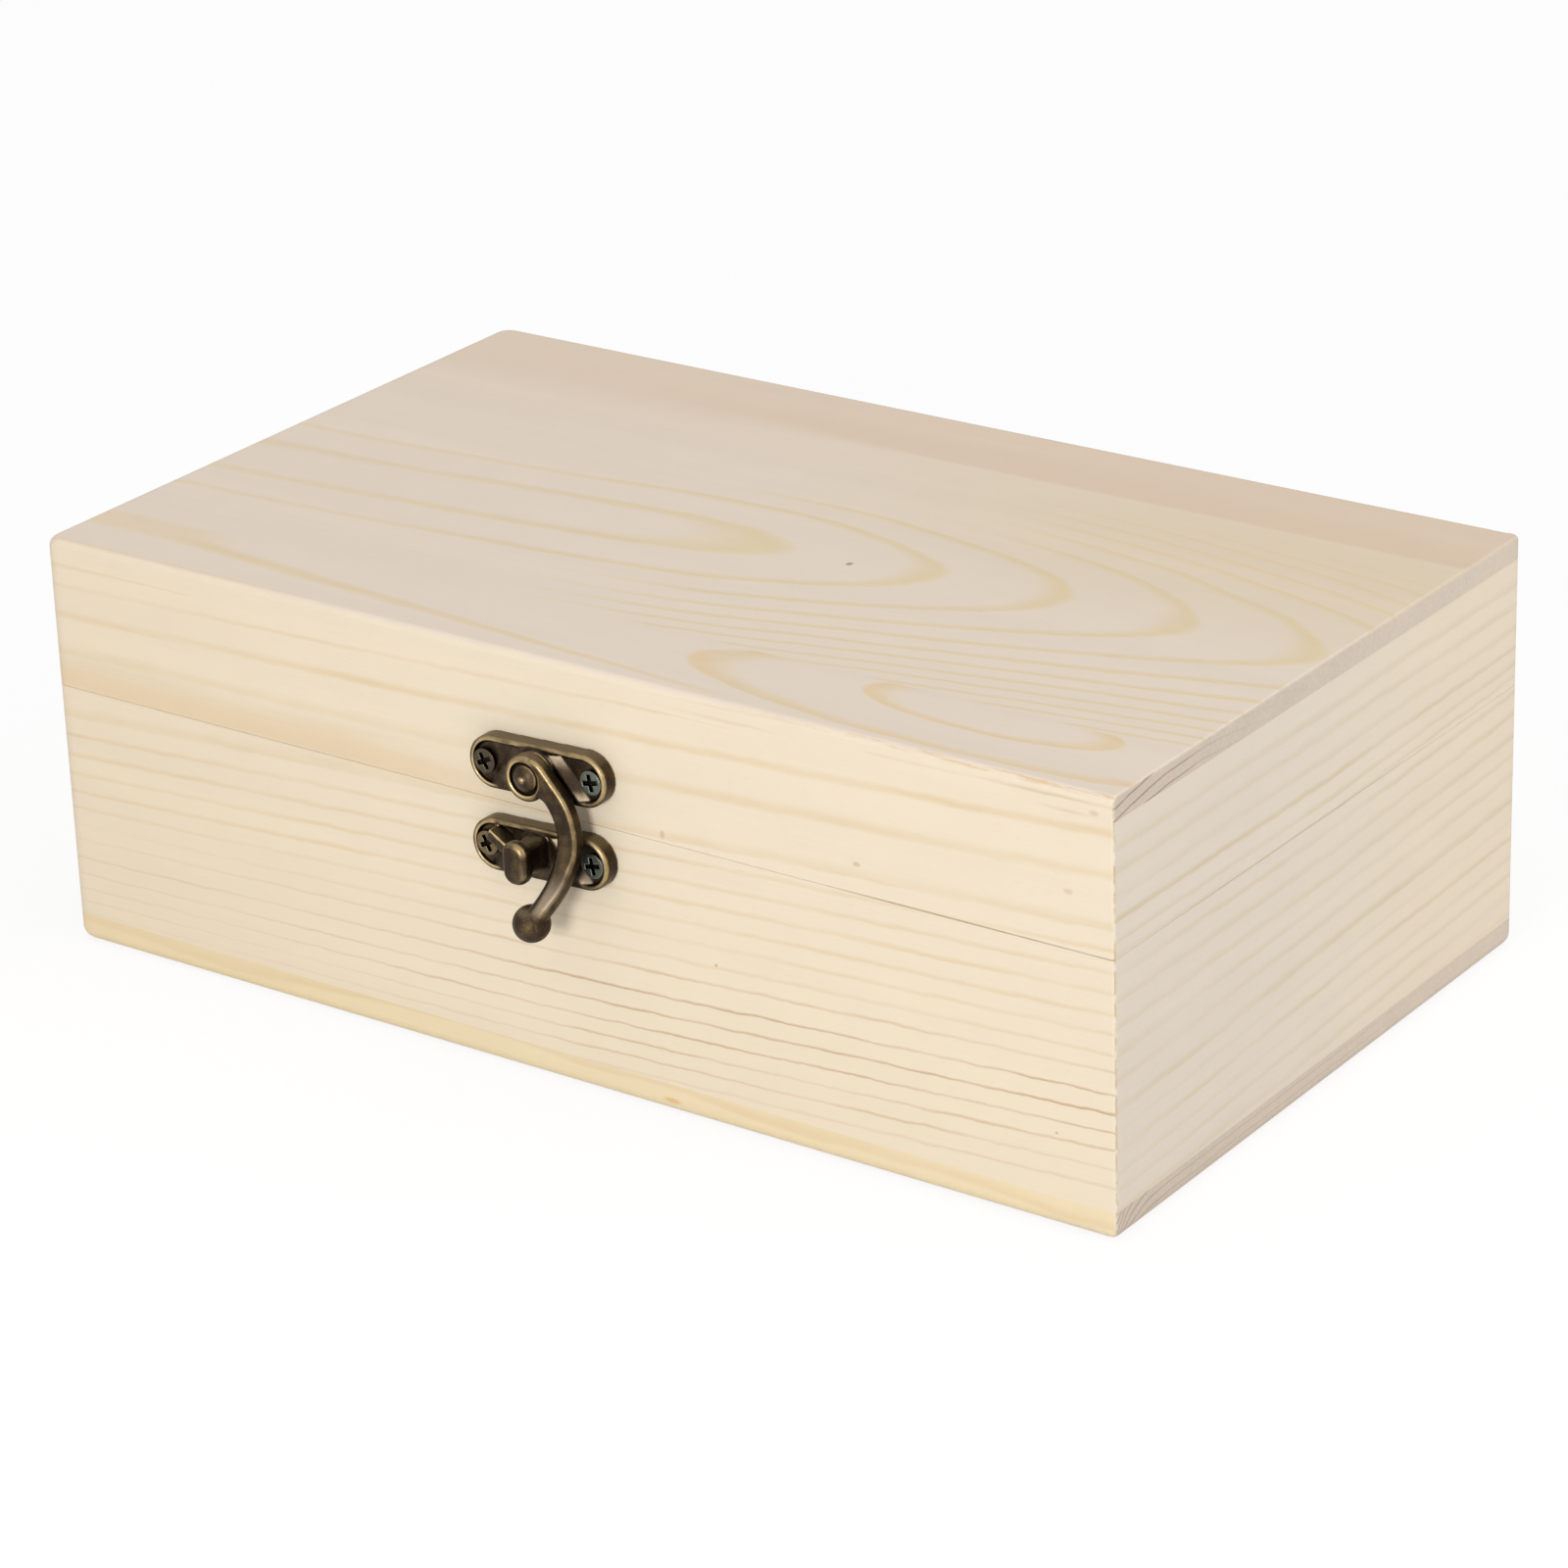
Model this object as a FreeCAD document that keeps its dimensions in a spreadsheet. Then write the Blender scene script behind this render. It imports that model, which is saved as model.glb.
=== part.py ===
import FreeCAD, Part
import math
import os
import re

# Hinged pine box with a swing-hook latch, in millimetres.
# Origin: centre of the underside. +X to the right seen from the front, +Y to the back, +Z up.
# The latch is on the front, which faces -Y, and the hinges are on the back.

Vector = FreeCAD.Vector
Rotation = FreeCAD.Rotation
NEAR = 0.01  # an edge this close to a plane lies in it

# Driving dimensions

SIZES = {
    "box_length": (200, "outer length, side to side"),
    "box_depth": (120, "outer depth, front to back"),
    "box_height": (70, "outer height, closed"),
    "wall_thickness": (8, "thickness of the wall boards"),
    "top_thickness": (3.8, "thickness of the top panel"),
    "bottom_thickness": (4.9, "thickness of the bottom panel"),
    "cut_height": (45, "height at which lid and base are sawn apart"),
    "cut_gap": (0.06, "gap between lid and base when closed"),
    "left_corner_round": (3.4, "sanded rounding of the two upright edges on the left"),
    "back_corner_round": (2.6, "sanded rounding of the upright edge at back right"),
    "sharp_corner_round": (0.6, "rounding of the crisp upright edge at front right"),
    "top_right_round": (0.5, "rounding of the top's crisp right edge"),
    "top_front_round": (1.2, "rounding of the top's front edge"),
    "top_round": (2.2, "rounding of the top's left and back edges"),
    "bottom_round": (2.2, "rounding of the bottom edges"),
    "latch_side": (0.2, "latch plate's centre, from the middle of the box"),
    "latch_height": (52.7, "height of the latch plate's centre and of the hook's pivot"),
    "catch_side": (-0.1, "catch plate's centre, from the middle of the box"),
    "catch_height": (39.1, "height of the catch plate's centre"),
    "plate_tilt": (2.2, "how far both plates are turned from level, in degrees"),
    "plate_length": (25.7, "length of the latch and catch plates"),
    "plate_width": (8.55, "width of the plates, across the round ends"),
    "plate_thickness": (2.8, "thickness of the plates at the rim"),
    "plate_round": (0.5, "rounding of the plates' front edge"),
    "rim_width": (0.8, "width of the rim round each screw recess"),
    "recess_depth": (0.8, "depth of the screw recesses below the rim"),
    "boss_top_width": (3.0, "width of the raised middle of a plate, at its top"),
    "boss_bottom_width": (16.4, "width of the raised middle of a plate, at its bottom"),
    "boss_slope": (2.2, "how much further out the raised middle starts at the recess floor"),
    "pad_diameter": (6.9, "round pad that the hook turns on"),
    "pad_height": (3.4, "height of that pad above the wood"),
    "screw_spacing": (20, "distance between a plate's two screws"),
    "screw_head": (4.0, "head diameter of the plate screws"),
    "screw_rim": (0.75, "height of the plate screws' head above the recess"),
    "screw_taper": (3.4, "widest diameter of the tapered underside of that head"),
    "screw_taper_height": (0.8, "height of that taper"),
    "screw_length": (5.0, "shank length of the plate screws"),
    "screw_shank": (1.7, "shank diameter of all screws"),
    "screw_tip": (1.6, "length of the pointed tip"),
    "screw_clear": (0.05, "clearance round the screws"),
    "screw_round": (0.15, "rounding of a screw head's top edge"),
    "screw_cross_length": (2.8, "arm length of the cross slot in a plate screw's head"),
    "screw_cross_width": (0.8, "arm width of that cross slot"),
    "screw_cross_depth": (0.8, "depth of that cross slot"),
    "hook_gap": (0.15, "gap between the pad and the hook's eye"),
    "eye_diameter": (7.4, "hook's eye"),
    "eye_thickness": (2.5, "thickness of the eye"),
    "eye_round": (0.6, "rounding of the eye's front edge"),
    "eye_recess": (5.3, "diameter of the recess round the rivet head"),
    "eye_recess_depth": (0.75, "depth of that recess"),
    "rivet_shank": (2.6, "diameter of the rivet's shank"),
    "rivet_clear": (0.05, "running clearance between rivet and hook"),
    "rivet_head": (4.5, "diameter of the rivet's domed head"),
    "rivet_head_height": (1.35, "height of that head"),
    "rivet_dome": (3.0, "radius of the dome"),
    "rivet_nub": (2.2, "diameter of the small round nub on the dome"),
    "rivet_nub_height": (0.25, "how far the nub stands above the dome"),
    "rivet_root": (0.6, "distance from the wood to the rivet's foot"),
    "arm_centre_x": (-2.5, "centre of the arm's bend, right of the pivot"),
    "arm_centre_y": (-8.5, "centre of the arm's bend, above the pivot"),
    "arm_radius": (9.9, "radius of the arm's middle line"),
    "arm_width": (3.6, "width of the arm"),
    "arm_root_outside": (0.9, "how much wider the arm's root is on the outside of the bend"),
    "arm_root_inside": (2.2, "how much wider the arm's root is on the inside of the bend"),
    "arm_thickness": (2.44, "thickness of the arm"),
    "arm_round": (0.6, "rounding of the arm's edges"),
    "arm_flare": (0.35, "share of the arm's bend over which it narrows from its root"),
    "arm_start": (72, "angle of the bend where the arm starts, in degrees"),
    "arm_end": (-4, "angle of the bend where the horn starts, in degrees"),
    "horn_radius": (22.5, "radius of the horn's gentler bend, seen from the front"),
    "horn_length": (14.2, "length of the horn seen from the front, to the ball's centre"),
    "horn_rise": (4.8, "how far the horn leans forward along its length"),
    "horn_diameter": (3.1, "thickness of the horn where it meets the ball"),
    "horn_round": (1.45, "rounding of the horn's edges where it meets the ball"),
    "horn_end": (0.97, "share of the horn's length at which its solid ends, inside the ball"),
    "ball_diameter": (5.9, "ball at the end of the hook"),
    "ball_back": (1.2, "how far the ball's centre lies behind the end of the horn"),
    "post_rise": (0.75, "catch post's centre, above the plate's centre"),
    "post_root_width": (4.2, "width of the catch post at the plate"),
    "post_root_height": (5.4, "height of the catch post at the plate"),
    "post_neck_width": (3.0, "width of the catch post under its head"),
    "post_neck_height": (4.4, "height of the catch post under its head"),
    "post_neck_round": (0.9, "rounding of the catch post's long edges"),
    "post_head_width": (4.4, "width of the post's head"),
    "post_head_height": (6.9, "height of the post's head"),
    "post_head_depth": (2.6, "depth of the post's head, front to back"),
    "post_head_corner": (2.0, "rounding of the head's corners, seen from the front"),
    "post_head_round": (1.0, "rounding of the head's front and back edges"),
    "post_reach": (9.3, "front of the post's head, from the wood"),
    "hinge_side": (60, "hinge centre, from the middle of the box"),
    "leaf_width": (20, "width of a hinge leaf, along the barrel"),
    "leaf_height": (12, "height of a hinge leaf, from the barrel's axis"),
    "leaf_thickness": (1.0, "thickness of a hinge leaf"),
    "leaf_round": (1.5, "rounding of the leaf's outer corners"),
    "leaf_relief": (2.0, "distance from the barrel's axis to the flat of the leaf"),
    "barrel_diameter": (3.2, "outer diameter of the hinge barrel"),
    "barrel_clear": (0.3, "gap between the barrel and the back of the box"),
    "knuckle_length": (6.8, "length of the middle knuckle"),
    "knuckle_gap": (0.2, "gap between knuckles"),
    "pin_diameter": (1.6, "hinge pin"),
    "pin_overhang": (0.4, "how far the pin shows past the barrel at each end"),
    "pin_chamfer": (0.2, "chamfer of the pin's ends"),
    "pin_running_clear": (0.05, "clearance of the pin in the lid's knuckle"),
    "pin_tight_clear": (0.01, "clearance of a hinge pin in the base's knuckles, and of the rivet"),
    "hinge_screw_spacing": (12, "distance between a leaf's two screws"),
    "hinge_screw_drop": (7.2, "distance of those screws from the barrel's axis"),
    "hinge_screw_head": (3.4, "head diameter of the hinge screws"),
    "hinge_screw_rim": (0.25, "height of the hinge screws' head above the leaf"),
    "hinge_screw_taper": (3.0, "widest diameter of the tapered underside of that head"),
    "hinge_screw_taper_height": (0.8, "height of that taper"),
    "hinge_screw_length": (4.6, "shank length of the hinge screws"),
    "hinge_screw_cross_length": (2.3, "arm length of the cross slot in a hinge screw's head"),
    "hinge_screw_cross_width": (0.55, "arm width of that cross slot"),
    "hinge_screw_cross_depth": (0.6, "depth of that cross slot"),
    "overshoot": (1, "how far a cutting solid runs past the face that it cuts"),
}

doc = FreeCAD.newDocument("pine_box")
sheet = doc.addObject("Spreadsheet::Sheet", "sizes")
for row, (alias, (value, meaning)) in enumerate(SIZES.items(), start=1):
    sheet.set(f"A{row}", meaning)
    sheet.set(f"B{row}", str(value))
    sheet.setAlias(f"B{row}", alias)
doc.recompute()


def size(alias):
    """Present value of a driving dimension."""
    return float(sheet.get(alias))


def in_sheet(word):
    """A driving dimension's alias as a formula refers to it; any other word as it is."""
    return "sizes." + word[0] if word[0] in SIZES else word[0]


def bind(item, **formulas):
    """Bind properties of an object to formulas over the driving dimensions."""
    for name, text in formulas.items():
        item.setExpression(name, re.sub(r"[a-z_]+[a-z]", in_sheet, text))


def place(item, x, y, z, turn=None):
    """Bind an object's position, given as three formulas, and turn it."""
    if turn:
        item.Placement = FreeCAD.Placement(Vector(), turn)
    for axis, text in zip("xyz", (x, y, z)):
        bind(item, **{f"Placement.Base.{axis}": text})
    return item


# Directions: a primitive's own +Z turned towards the front, the back or the right

TO_FRONT = Rotation(Vector(1, 0, 0), 90)
TO_BACK = Rotation(Vector(1, 0, 0), -90)
TO_RIGHT = Rotation(Vector(0, 1, 0), 90)
FRONT = "-box_depth/2"
BACK = "box_depth/2"


# Primitives and booleans

def box(name, length, width, height, x, y, z):
    item = doc.addObject("Part::Box", name)
    bind(item, Length=length, Width=width, Height=height)
    return place(item, x, y, z)


def cylinder(name, diameter, height, x, y, z, turn=None):
    item = doc.addObject("Part::Cylinder", name)
    bind(item, Radius=f"({diameter})/2", Height=height)
    return place(item, x, y, z, turn)


def cone(name, low_diameter, high_diameter, height, x, y, z, turn=None):
    item = doc.addObject("Part::Cone", name)
    bind(item, Radius1=f"({low_diameter})/2", Radius2=f"({high_diameter})/2", Height=height)
    return place(item, x, y, z, turn)


def sphere(name, radius):
    item = doc.addObject("Part::Sphere", name)
    bind(item, Radius=radius)
    return item


def fuse(name, items):
    item = doc.addObject("Part::MultiFuse", name)
    item.Shapes = items
    item.Refine = True
    return item


def cut(name, base, tool):
    item = doc.addObject("Part::Cut", name)
    item.Base = base
    item.Tool = tool
    return item


def common(name, first, second):
    item = doc.addObject("Part::Common", name)
    item.Base = first
    item.Tool = second
    return item


def fillet(name, base, radius_of):
    """Round the edges of base for which radius_of gives the name of a radius."""
    doc.recompute()
    item = doc.addObject("Part::Fillet", name)
    item.Base = base
    rounded = []
    for number, edge in enumerate(base.Shape.Edges, start=1):
        alias = radius_of(edge)
        if alias:
            rounded.append((number, size(alias), size(alias)))
    item.Edges = rounded
    return item


nodes = {}


def node(label, item):
    """Keep an object as a finished sub-part under its own label."""
    item.Label = label
    nodes[label] = item
    return item


# Wooden box: one block with sanded edges, divided into boards

def sanded_edge(edge):
    """Rounding of one edge of the block, by where the edge is."""
    middle = edge.BoundBox.Center
    at_front = abs(middle.y + size("box_depth") / 2) < 1
    if abs(middle.z - size("box_height")) < 1:
        if abs(middle.x - size("box_length") / 2) < 1:
            return "top_right_round"
        return "top_front_round" if at_front else "top_round"
    if abs(middle.z) < 1:
        return "bottom_round"
    if middle.x < 0:
        return "left_corner_round"
    return "sharp_corner_round" if at_front else "back_corner_round"


plain_block = box("plain_block", "box_length", "box_depth", "box_height", "-box_length/2", FRONT, "0")
block = fillet("sanded_block", plain_block, sanded_edge)


def panel(label, low, height):
    """A flat panel over the whole length and depth of the box."""
    blank = box(label + "_blank", "box_length", "box_depth", height, "-box_length/2", FRONT, low)
    return node(label, common(label + "_board", block, blank))


def wall(name, span, reach, turn, low, high):
    """A wall board with both ends mitred; its outer face is at the distance reach from the middle."""
    blank = doc.addObject("Part::Wedge", name + "_blank")
    bind(blank, Xmin=f"-{span}/2", Xmax=f"{span}/2", Ymin=f"-{reach}", Ymax=f"wall_thickness-{reach}",
         X2min=f"wall_thickness-{span}/2", X2max=f"{span}/2-wall_thickness",
         Zmin=low, Z2min=low, Zmax=high, Z2max=high)
    blank.Placement = FreeCAD.Placement(Vector(), Rotation(Vector(0, 0, 1), turn))
    return common(name + "_board", block, blank)


def drilled(name, board, holes):
    """A board with pilot holes, each given as its x, y, z and direction out of the board."""
    drills = []
    for number, (x, y, z, turn, length) in enumerate(holes, start=1):
        drills.append(cylinder(f"{name}_drill_{number}", SCREW_HOLE, length, x, y, z, turn))
    return cut(name + "_drilled", board, fuse(name + "_drills", drills))


LEFT_AND_RIGHT = {"left": "-", "right": "+"}
HINGE_Y = "box_depth/2 + barrel_diameter/2 + barrel_clear"
HINGE_Z = "cut_height + cut_gap/2"
SCREW_HOLE = "screw_shank + 2*screw_clear"
PILOT_LENGTH = "screw_length + screw_tip"
HINGE_PILOT_LENGTH = "hinge_screw_length + screw_tip"


def plate_screw_place(plate_name, sign):
    """Place of a plate's left (-) or right (+) screw, as formulas for x and z."""
    x = f"{plate_name}_side {sign} screw_spacing/2*cos(plate_tilt)"
    z = f"{plate_name}_height {sign} screw_spacing/2*sin(plate_tilt)"
    return x, z


def hinge_screw_x(side, sign):
    return f"{LEFT_AND_RIGHT[side]}hinge_side {sign} hinge_screw_spacing/2"


def front_holes(plate_name):
    """Pilot holes of one plate's two screws, drilled in from the front."""
    places = [plate_screw_place(plate_name, sign) for sign in "-+"]
    return [(x, FRONT, z, TO_BACK, PILOT_LENGTH) for x, z in places]


def back_holes(sign_up):
    """Pilot holes of both hinges' screws, drilled in from the back, above or below the barrel."""
    height = f"{HINGE_Z} {sign_up} hinge_screw_drop"
    return [(hinge_screw_x(side, sign), BACK, height, TO_FRONT, HINGE_PILOT_LENGTH)
            for side in LEFT_AND_RIGHT for sign in "-+"]


BASE_WALLS = ("bottom_thickness", "cut_height")
LID_WALLS = ("cut_height + cut_gap", "box_height - top_thickness")

panel("bottom_panel", "0", "bottom_thickness")
panel("top_panel", "box_height - top_thickness", "top_thickness")
for part, (low, high), plate_name, sign_up in (("base", BASE_WALLS, "catch", "-"),
                                               ("lid", LID_WALLS, "latch", "+")):
    front = wall(f"{part}_front", "box_length", "box_depth/2", 0, low, high)
    back = wall(f"{part}_back", "box_length", "box_depth/2", 180, low, high)
    node(f"{part}_front_wall", drilled(f"{part}_front", front, front_holes(plate_name)))
    node(f"{part}_back_wall", drilled(f"{part}_back", back, back_holes(sign_up)))
    node(f"{part}_left_wall", wall(f"{part}_left", "box_depth", "box_length/2", -90, low, high))
    node(f"{part}_right_wall", wall(f"{part}_right", "box_depth", "box_length/2", 90, low, high))


# Screws: round head with a cross slot and a tapered underside, plain shank and pointed tip

def screw(name, kind, x, y, z, turn, slot_angle):
    """One screw whose head rests on the given point; kind names its set of sizes."""
    taper_foot = f"-{kind}_taper_height"
    shank_foot = f"{taper_foot} - {kind}_length"
    solid = fuse(name + "_solid", [
        cylinder(name + "_head", f"{kind}_head", f"{kind}_rim", "0", "0", "0"),
        cone(name + "_taper", "screw_shank", f"{kind}_taper", f"{kind}_taper_height", "0", "0", taper_foot),
        cylinder(name + "_shank", "screw_shank", f"{kind}_length", "0", "0", shank_foot),
        cone(name + "_tip", "0", "screw_shank", "screw_tip", "0", "0", f"{shank_foot} - screw_tip"),
    ])
    top = size(f"{kind}_rim")
    rounded = fillet(name + "_rounded", solid,
                     lambda edge: "screw_round" if abs(edge.BoundBox.ZMin - top) < NEAR else None)
    long, wide = f"{kind}_cross_length", f"{kind}_cross_width"
    deep = f"{kind}_cross_depth + overshoot"
    slot_foot = f"{kind}_rim - {kind}_cross_depth"
    slot = fuse(name + "_cross", [
        box(name + "_slot_a", long, wide, deep, f"-{long}/2", f"-{wide}/2", slot_foot),
        box(name + "_slot_b", wide, long, deep, f"-{wide}/2", f"-{long}/2", slot_foot),
    ])
    turned = turn.multiply(Rotation(Vector(0, 0, 1), slot_angle))
    return place(cut(name, rounded, slot), x, y, z, turned)


SLOT_ANGLES = {"left": 27, "right": 12}  # how far each cross slot is turned, in degrees
SLOT_STEP = 30
for plate_name in ("latch", "catch"):
    for side, sign in LEFT_AND_RIGHT.items():
        label = f"{plate_name}_plate_screw_{side}"
        x, z = plate_screw_place(plate_name, sign)
        y = f"{FRONT} - plate_thickness + recess_depth"
        node(label, screw(label + "_body", "screw", x, y, z, TO_FRONT, SLOT_ANGLES[side]))


# Latch and catch plates: round-ended plates with a screw recess at each end.
# Each is made lying down, x right, y up the box and z out of the wood, then turned to the front.

TILTED_TO_FRONT = TO_FRONT.multiply(Rotation(Vector(0, 0, 1), size("plate_tilt")))


def round_ended(name, length, width, thickness, lift):
    """A round-ended bar round the plate's centre, starting at the height lift."""
    straight = f"({length} - ({width}))"
    ends = [cylinder(f"{name}_{side}_end", width, thickness, f"{sign}{straight}/2", "0", lift)
            for side, sign in LEFT_AND_RIGHT.items()]
    middle = box(name + "_middle", straight, width, thickness, f"-{straight}/2", f"-({width})/2", lift)
    return fuse(name, [middle] + ends)


def screw_seats(name):
    """Countersunk seats for a plate's two screws."""
    floor = "plate_thickness - recess_depth"
    seats = []
    for side, sign in LEFT_AND_RIGHT.items():
        x = f"{sign}screw_spacing/2"
        seats.append(cone(f"{name}_{side}_seat", SCREW_HOLE, "screw_taper + 2*screw_clear",
                          "screw_taper_height", x, "0", f"{floor} - screw_taper_height"))
        seats.append(cylinder(f"{name}_{side}_hole", SCREW_HOLE, "plate_thickness", x, "0", "0"))
    return seats


def boss_shape():
    """The raised middle of a plate: wider at its foot, with sloping walls towards the recesses."""
    low = size("plate_thickness") - size("recess_depth")
    high = size("plate_thickness")
    slope = size("boss_slope")
    rise = size("overshoot") / 4
    run = slope / size("recess_depth") * rise
    half = size("plate_width") / 2
    loops = []
    for z, spread in ((low, slope), (high + rise, -run)):
        top = size("boss_top_width") / 2 + spread
        bottom = size("boss_bottom_width") / 2 + spread
        corners = ((-bottom, -half), (bottom, -half), (top, half), (-top, half))
        loops.append([Vector(x, y, z) for x, y in corners])
    low_loop, high_loop = loops
    low_next = low_loop[1:] + low_loop[:1]
    high_next = high_loop[1:] + high_loop[:1]
    loops += [list(side) for side in zip(low_loop, low_next, high_next, high_loop)]
    faces = [Part.Face(Part.makePolygon(loop + loop[:1])) for loop in loops]
    return Part.makeSolid(Part.makeShell(faces))


def plate(name):
    """A plate with a rounded front edge, a raised middle and two recesses with screw seats."""
    bar = round_ended(name + "_bar", "plate_length", "plate_width", "plate_thickness", "0")
    face = size("plate_thickness")
    rounded = fillet(name + "_rounded", bar,
                     lambda edge: "plate_round" if abs(edge.BoundBox.ZMin - face) < NEAR else None)
    hollow = round_ended(name + "_hollow", "plate_length - 2*rim_width", "plate_width - 2*rim_width",
                         "recess_depth + overshoot", "plate_thickness - recess_depth")
    boss = doc.addObject("Part::Feature", name + "_boss")
    boss.Shape = boss_shape()
    recesses = cut(name + "_recesses", hollow, boss)
    return cut(name + "_seated", rounded, fuse(name + "_seats", [recesses] + screw_seats(name)))


pad = cylinder("pivot_pad", "pad_diameter", "pad_height - plate_thickness/2", "0", "0", "plate_thickness/2")
padded = fuse("latch_plate_padded", [plate("latch_plate"), pad])
rivet_hole = cylinder("rivet_hole", "rivet_shank + 2*pin_tight_clear", "pad_height + overshoot",
                      "0", "0", "0")
latch_plate = cut("latch_plate_solid", padded, rivet_hole)
node("latch_plate", place(latch_plate, "latch_side", FRONT, "latch_height", TILTED_TO_FRONT))


# Catch post: a tapered neck with a rounded head, standing on the catch plate

plain_neck = doc.addObject("Part::Wedge", "post_plain_neck")
bind(plain_neck, Xmin="-post_root_width/2", Xmax="post_root_width/2", X2min="-post_neck_width/2",
     X2max="post_neck_width/2", Ymin="plate_thickness/2", Ymax="post_reach - post_head_depth/2",
     Zmin="-post_root_height/2", Zmax="post_root_height/2", Z2min="-post_neck_height/2",
     Z2max="post_neck_height/2")
neck = fillet("post_neck", plain_neck,
              lambda edge: "post_neck_round" if edge.BoundBox.YLength > size("post_head_depth") else None)
place(neck, "0", "post_rise", "0", Rotation(Vector(1, 0, 0), 90))
plain_head = box("post_plain_head", "post_head_width", "post_head_height", "post_head_depth",
                 "-post_head_width/2", "post_rise - post_head_height/2", "post_reach - post_head_depth")
cornered_head = fillet("post_cornered_head", plain_head,
                       lambda edge: "post_head_corner" if edge.BoundBox.ZLength > NEAR else None)
post_head = fillet("post_head", cornered_head,
                   lambda edge: "post_head_round" if edge.BoundBox.ZLength < NEAR else None)
catch_plate = fuse("catch_plate_solid", [plate("catch_plate"), neck, post_head])
node("catch_plate", place(catch_plate, "catch_side", FRONT, "catch_height", TILTED_TO_FRONT))


# Rivet: shank through the plate and the hook's eye, with a domed head

EYE_BACK = "pad_height + hook_gap"
EYE_FRONT = "pad_height + hook_gap + eye_thickness"
HEAD_BACK = f"{EYE_FRONT} - eye_recess_depth + rivet_clear"

shank = cylinder("rivet_shank_solid", "rivet_shank", f"{HEAD_BACK} - rivet_root + rivet_head_height/2",
                 "0", "0", "rivet_root")
head_blank = cylinder("rivet_head_blank", "rivet_head", "rivet_head_height + overshoot", "0", "0", HEAD_BACK)
dome = sphere("rivet_dome_ball", "rivet_dome")
place(dome, "0", "0", f"{HEAD_BACK} + rivet_head_height - rivet_dome")
nub = sphere("rivet_nub_ball", "rivet_nub/2")
place(nub, "0", "0", f"{HEAD_BACK} + rivet_head_height + rivet_nub_height - rivet_nub/2")
rivet = fuse("latch_rivet_solid", [shank, common("rivet_domed_head", head_blank, dome), nub])
node("latch_rivet", place(rivet, "latch_side", FRONT, "latch_height", TO_FRONT))


# Hook: flat eye, arm bent to the right, and a horn that leans forward to a ball

def arm_section(centre, along, width, thickness, rounding):
    """Rounded rectangle across the arm; along is the arm's direction there."""
    outward = Vector(0, 0, 1).cross(along).normalize()
    forward = along.cross(outward).normalize()
    half_width = width / 2 - rounding
    half_thickness = thickness / 2 - rounding
    bend = rounding * math.sqrt(0.5)
    arcs = []
    for across, up in ((1, 1), (-1, 1), (-1, -1), (1, -1)):
        core = centre + outward * (across * half_width) + forward * (up * half_thickness)
        side = core + outward * (across * rounding)
        flat = core + forward * (up * rounding)
        middle = core + outward * (across * bend) + forward * (up * bend)
        arcs.append((side, middle, flat) if across * up > 0 else (flat, middle, side))
    edges = []
    for (first, middle, last), (following, _, _) in zip(arcs, arcs[1:] + arcs[:1]):
        edges.append(Part.Arc(first, middle, last).toShape())
        edges.append(Part.LineSegment(last, following).toShape())
    return Part.Wire(edges)


def bend_point(centre, radius, degrees):
    """Point on a bend seen from the front, and the direction down the arm there."""
    angle = math.radians(degrees)
    outward = Vector(math.cos(angle), math.sin(angle), 0)
    along = Vector(math.sin(angle), -math.cos(angle), 0)
    return centre + outward * radius, along


ARM_STEPS = 6
HORN_STEPS = 5
LEAN = 1.5  # power with which the horn leans forward along its length


def hook_arm():
    """The arm and horn as one loft in the plates' frame, and the centre of the ball at its end."""
    depth = size("pad_height") + size("hook_gap") + size("eye_thickness") / 2
    arm_centre = Vector(size("arm_centre_x"), size("arm_centre_y"), depth)
    start, end = size("arm_start"), size("arm_end")
    sections = []
    for step in range(ARM_STEPS + 1):
        share = step / ARM_STEPS
        point, along = bend_point(arm_centre, size("arm_radius"), start + (end - start) * share)
        flare = max(0, 1 - (share / size("arm_flare")) ** 2)
        wider_outside = size("arm_root_outside") * flare ** 2
        wider_inside = size("arm_root_inside") * flare
        outward = Vector(0, 0, 1).cross(along)
        middle = point + outward * ((wider_outside - wider_inside) / 2)
        width = size("arm_width") + wider_outside + wider_inside
        sections.append(arm_section(middle, along, width, size("arm_thickness"), size("arm_round")))
    radius, length, rise = size("horn_radius"), size("horn_length"), size("horn_rise")
    horn_centre, _ = bend_point(arm_centre, size("arm_radius") - radius, end)
    horn_turn = math.degrees(length / radius)
    for step in range(1, HORN_STEPS + 1):
        share = size("horn_end") * step / HORN_STEPS
        point, along = bend_point(horn_centre, radius, end - horn_turn * share)
        point += Vector(0, 0, rise * share ** LEAN)
        along = (along + Vector(0, 0, LEAN * rise * share ** (LEAN - 1) / length)).normalize()
        width = size("arm_width") + (size("horn_diameter") - size("arm_width")) * share
        thickness = size("arm_thickness") + (size("horn_diameter") - size("arm_thickness")) * share
        rounding = size("arm_round") + (size("horn_round") - size("arm_round")) * share
        sections.append(arm_section(point, along, width, thickness, rounding))
    ball_centre, _ = bend_point(horn_centre, radius, end - horn_turn)
    return Part.makeLoft(sections, True, False), ball_centre + Vector(0, 0, rise - size("ball_back"))


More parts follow.
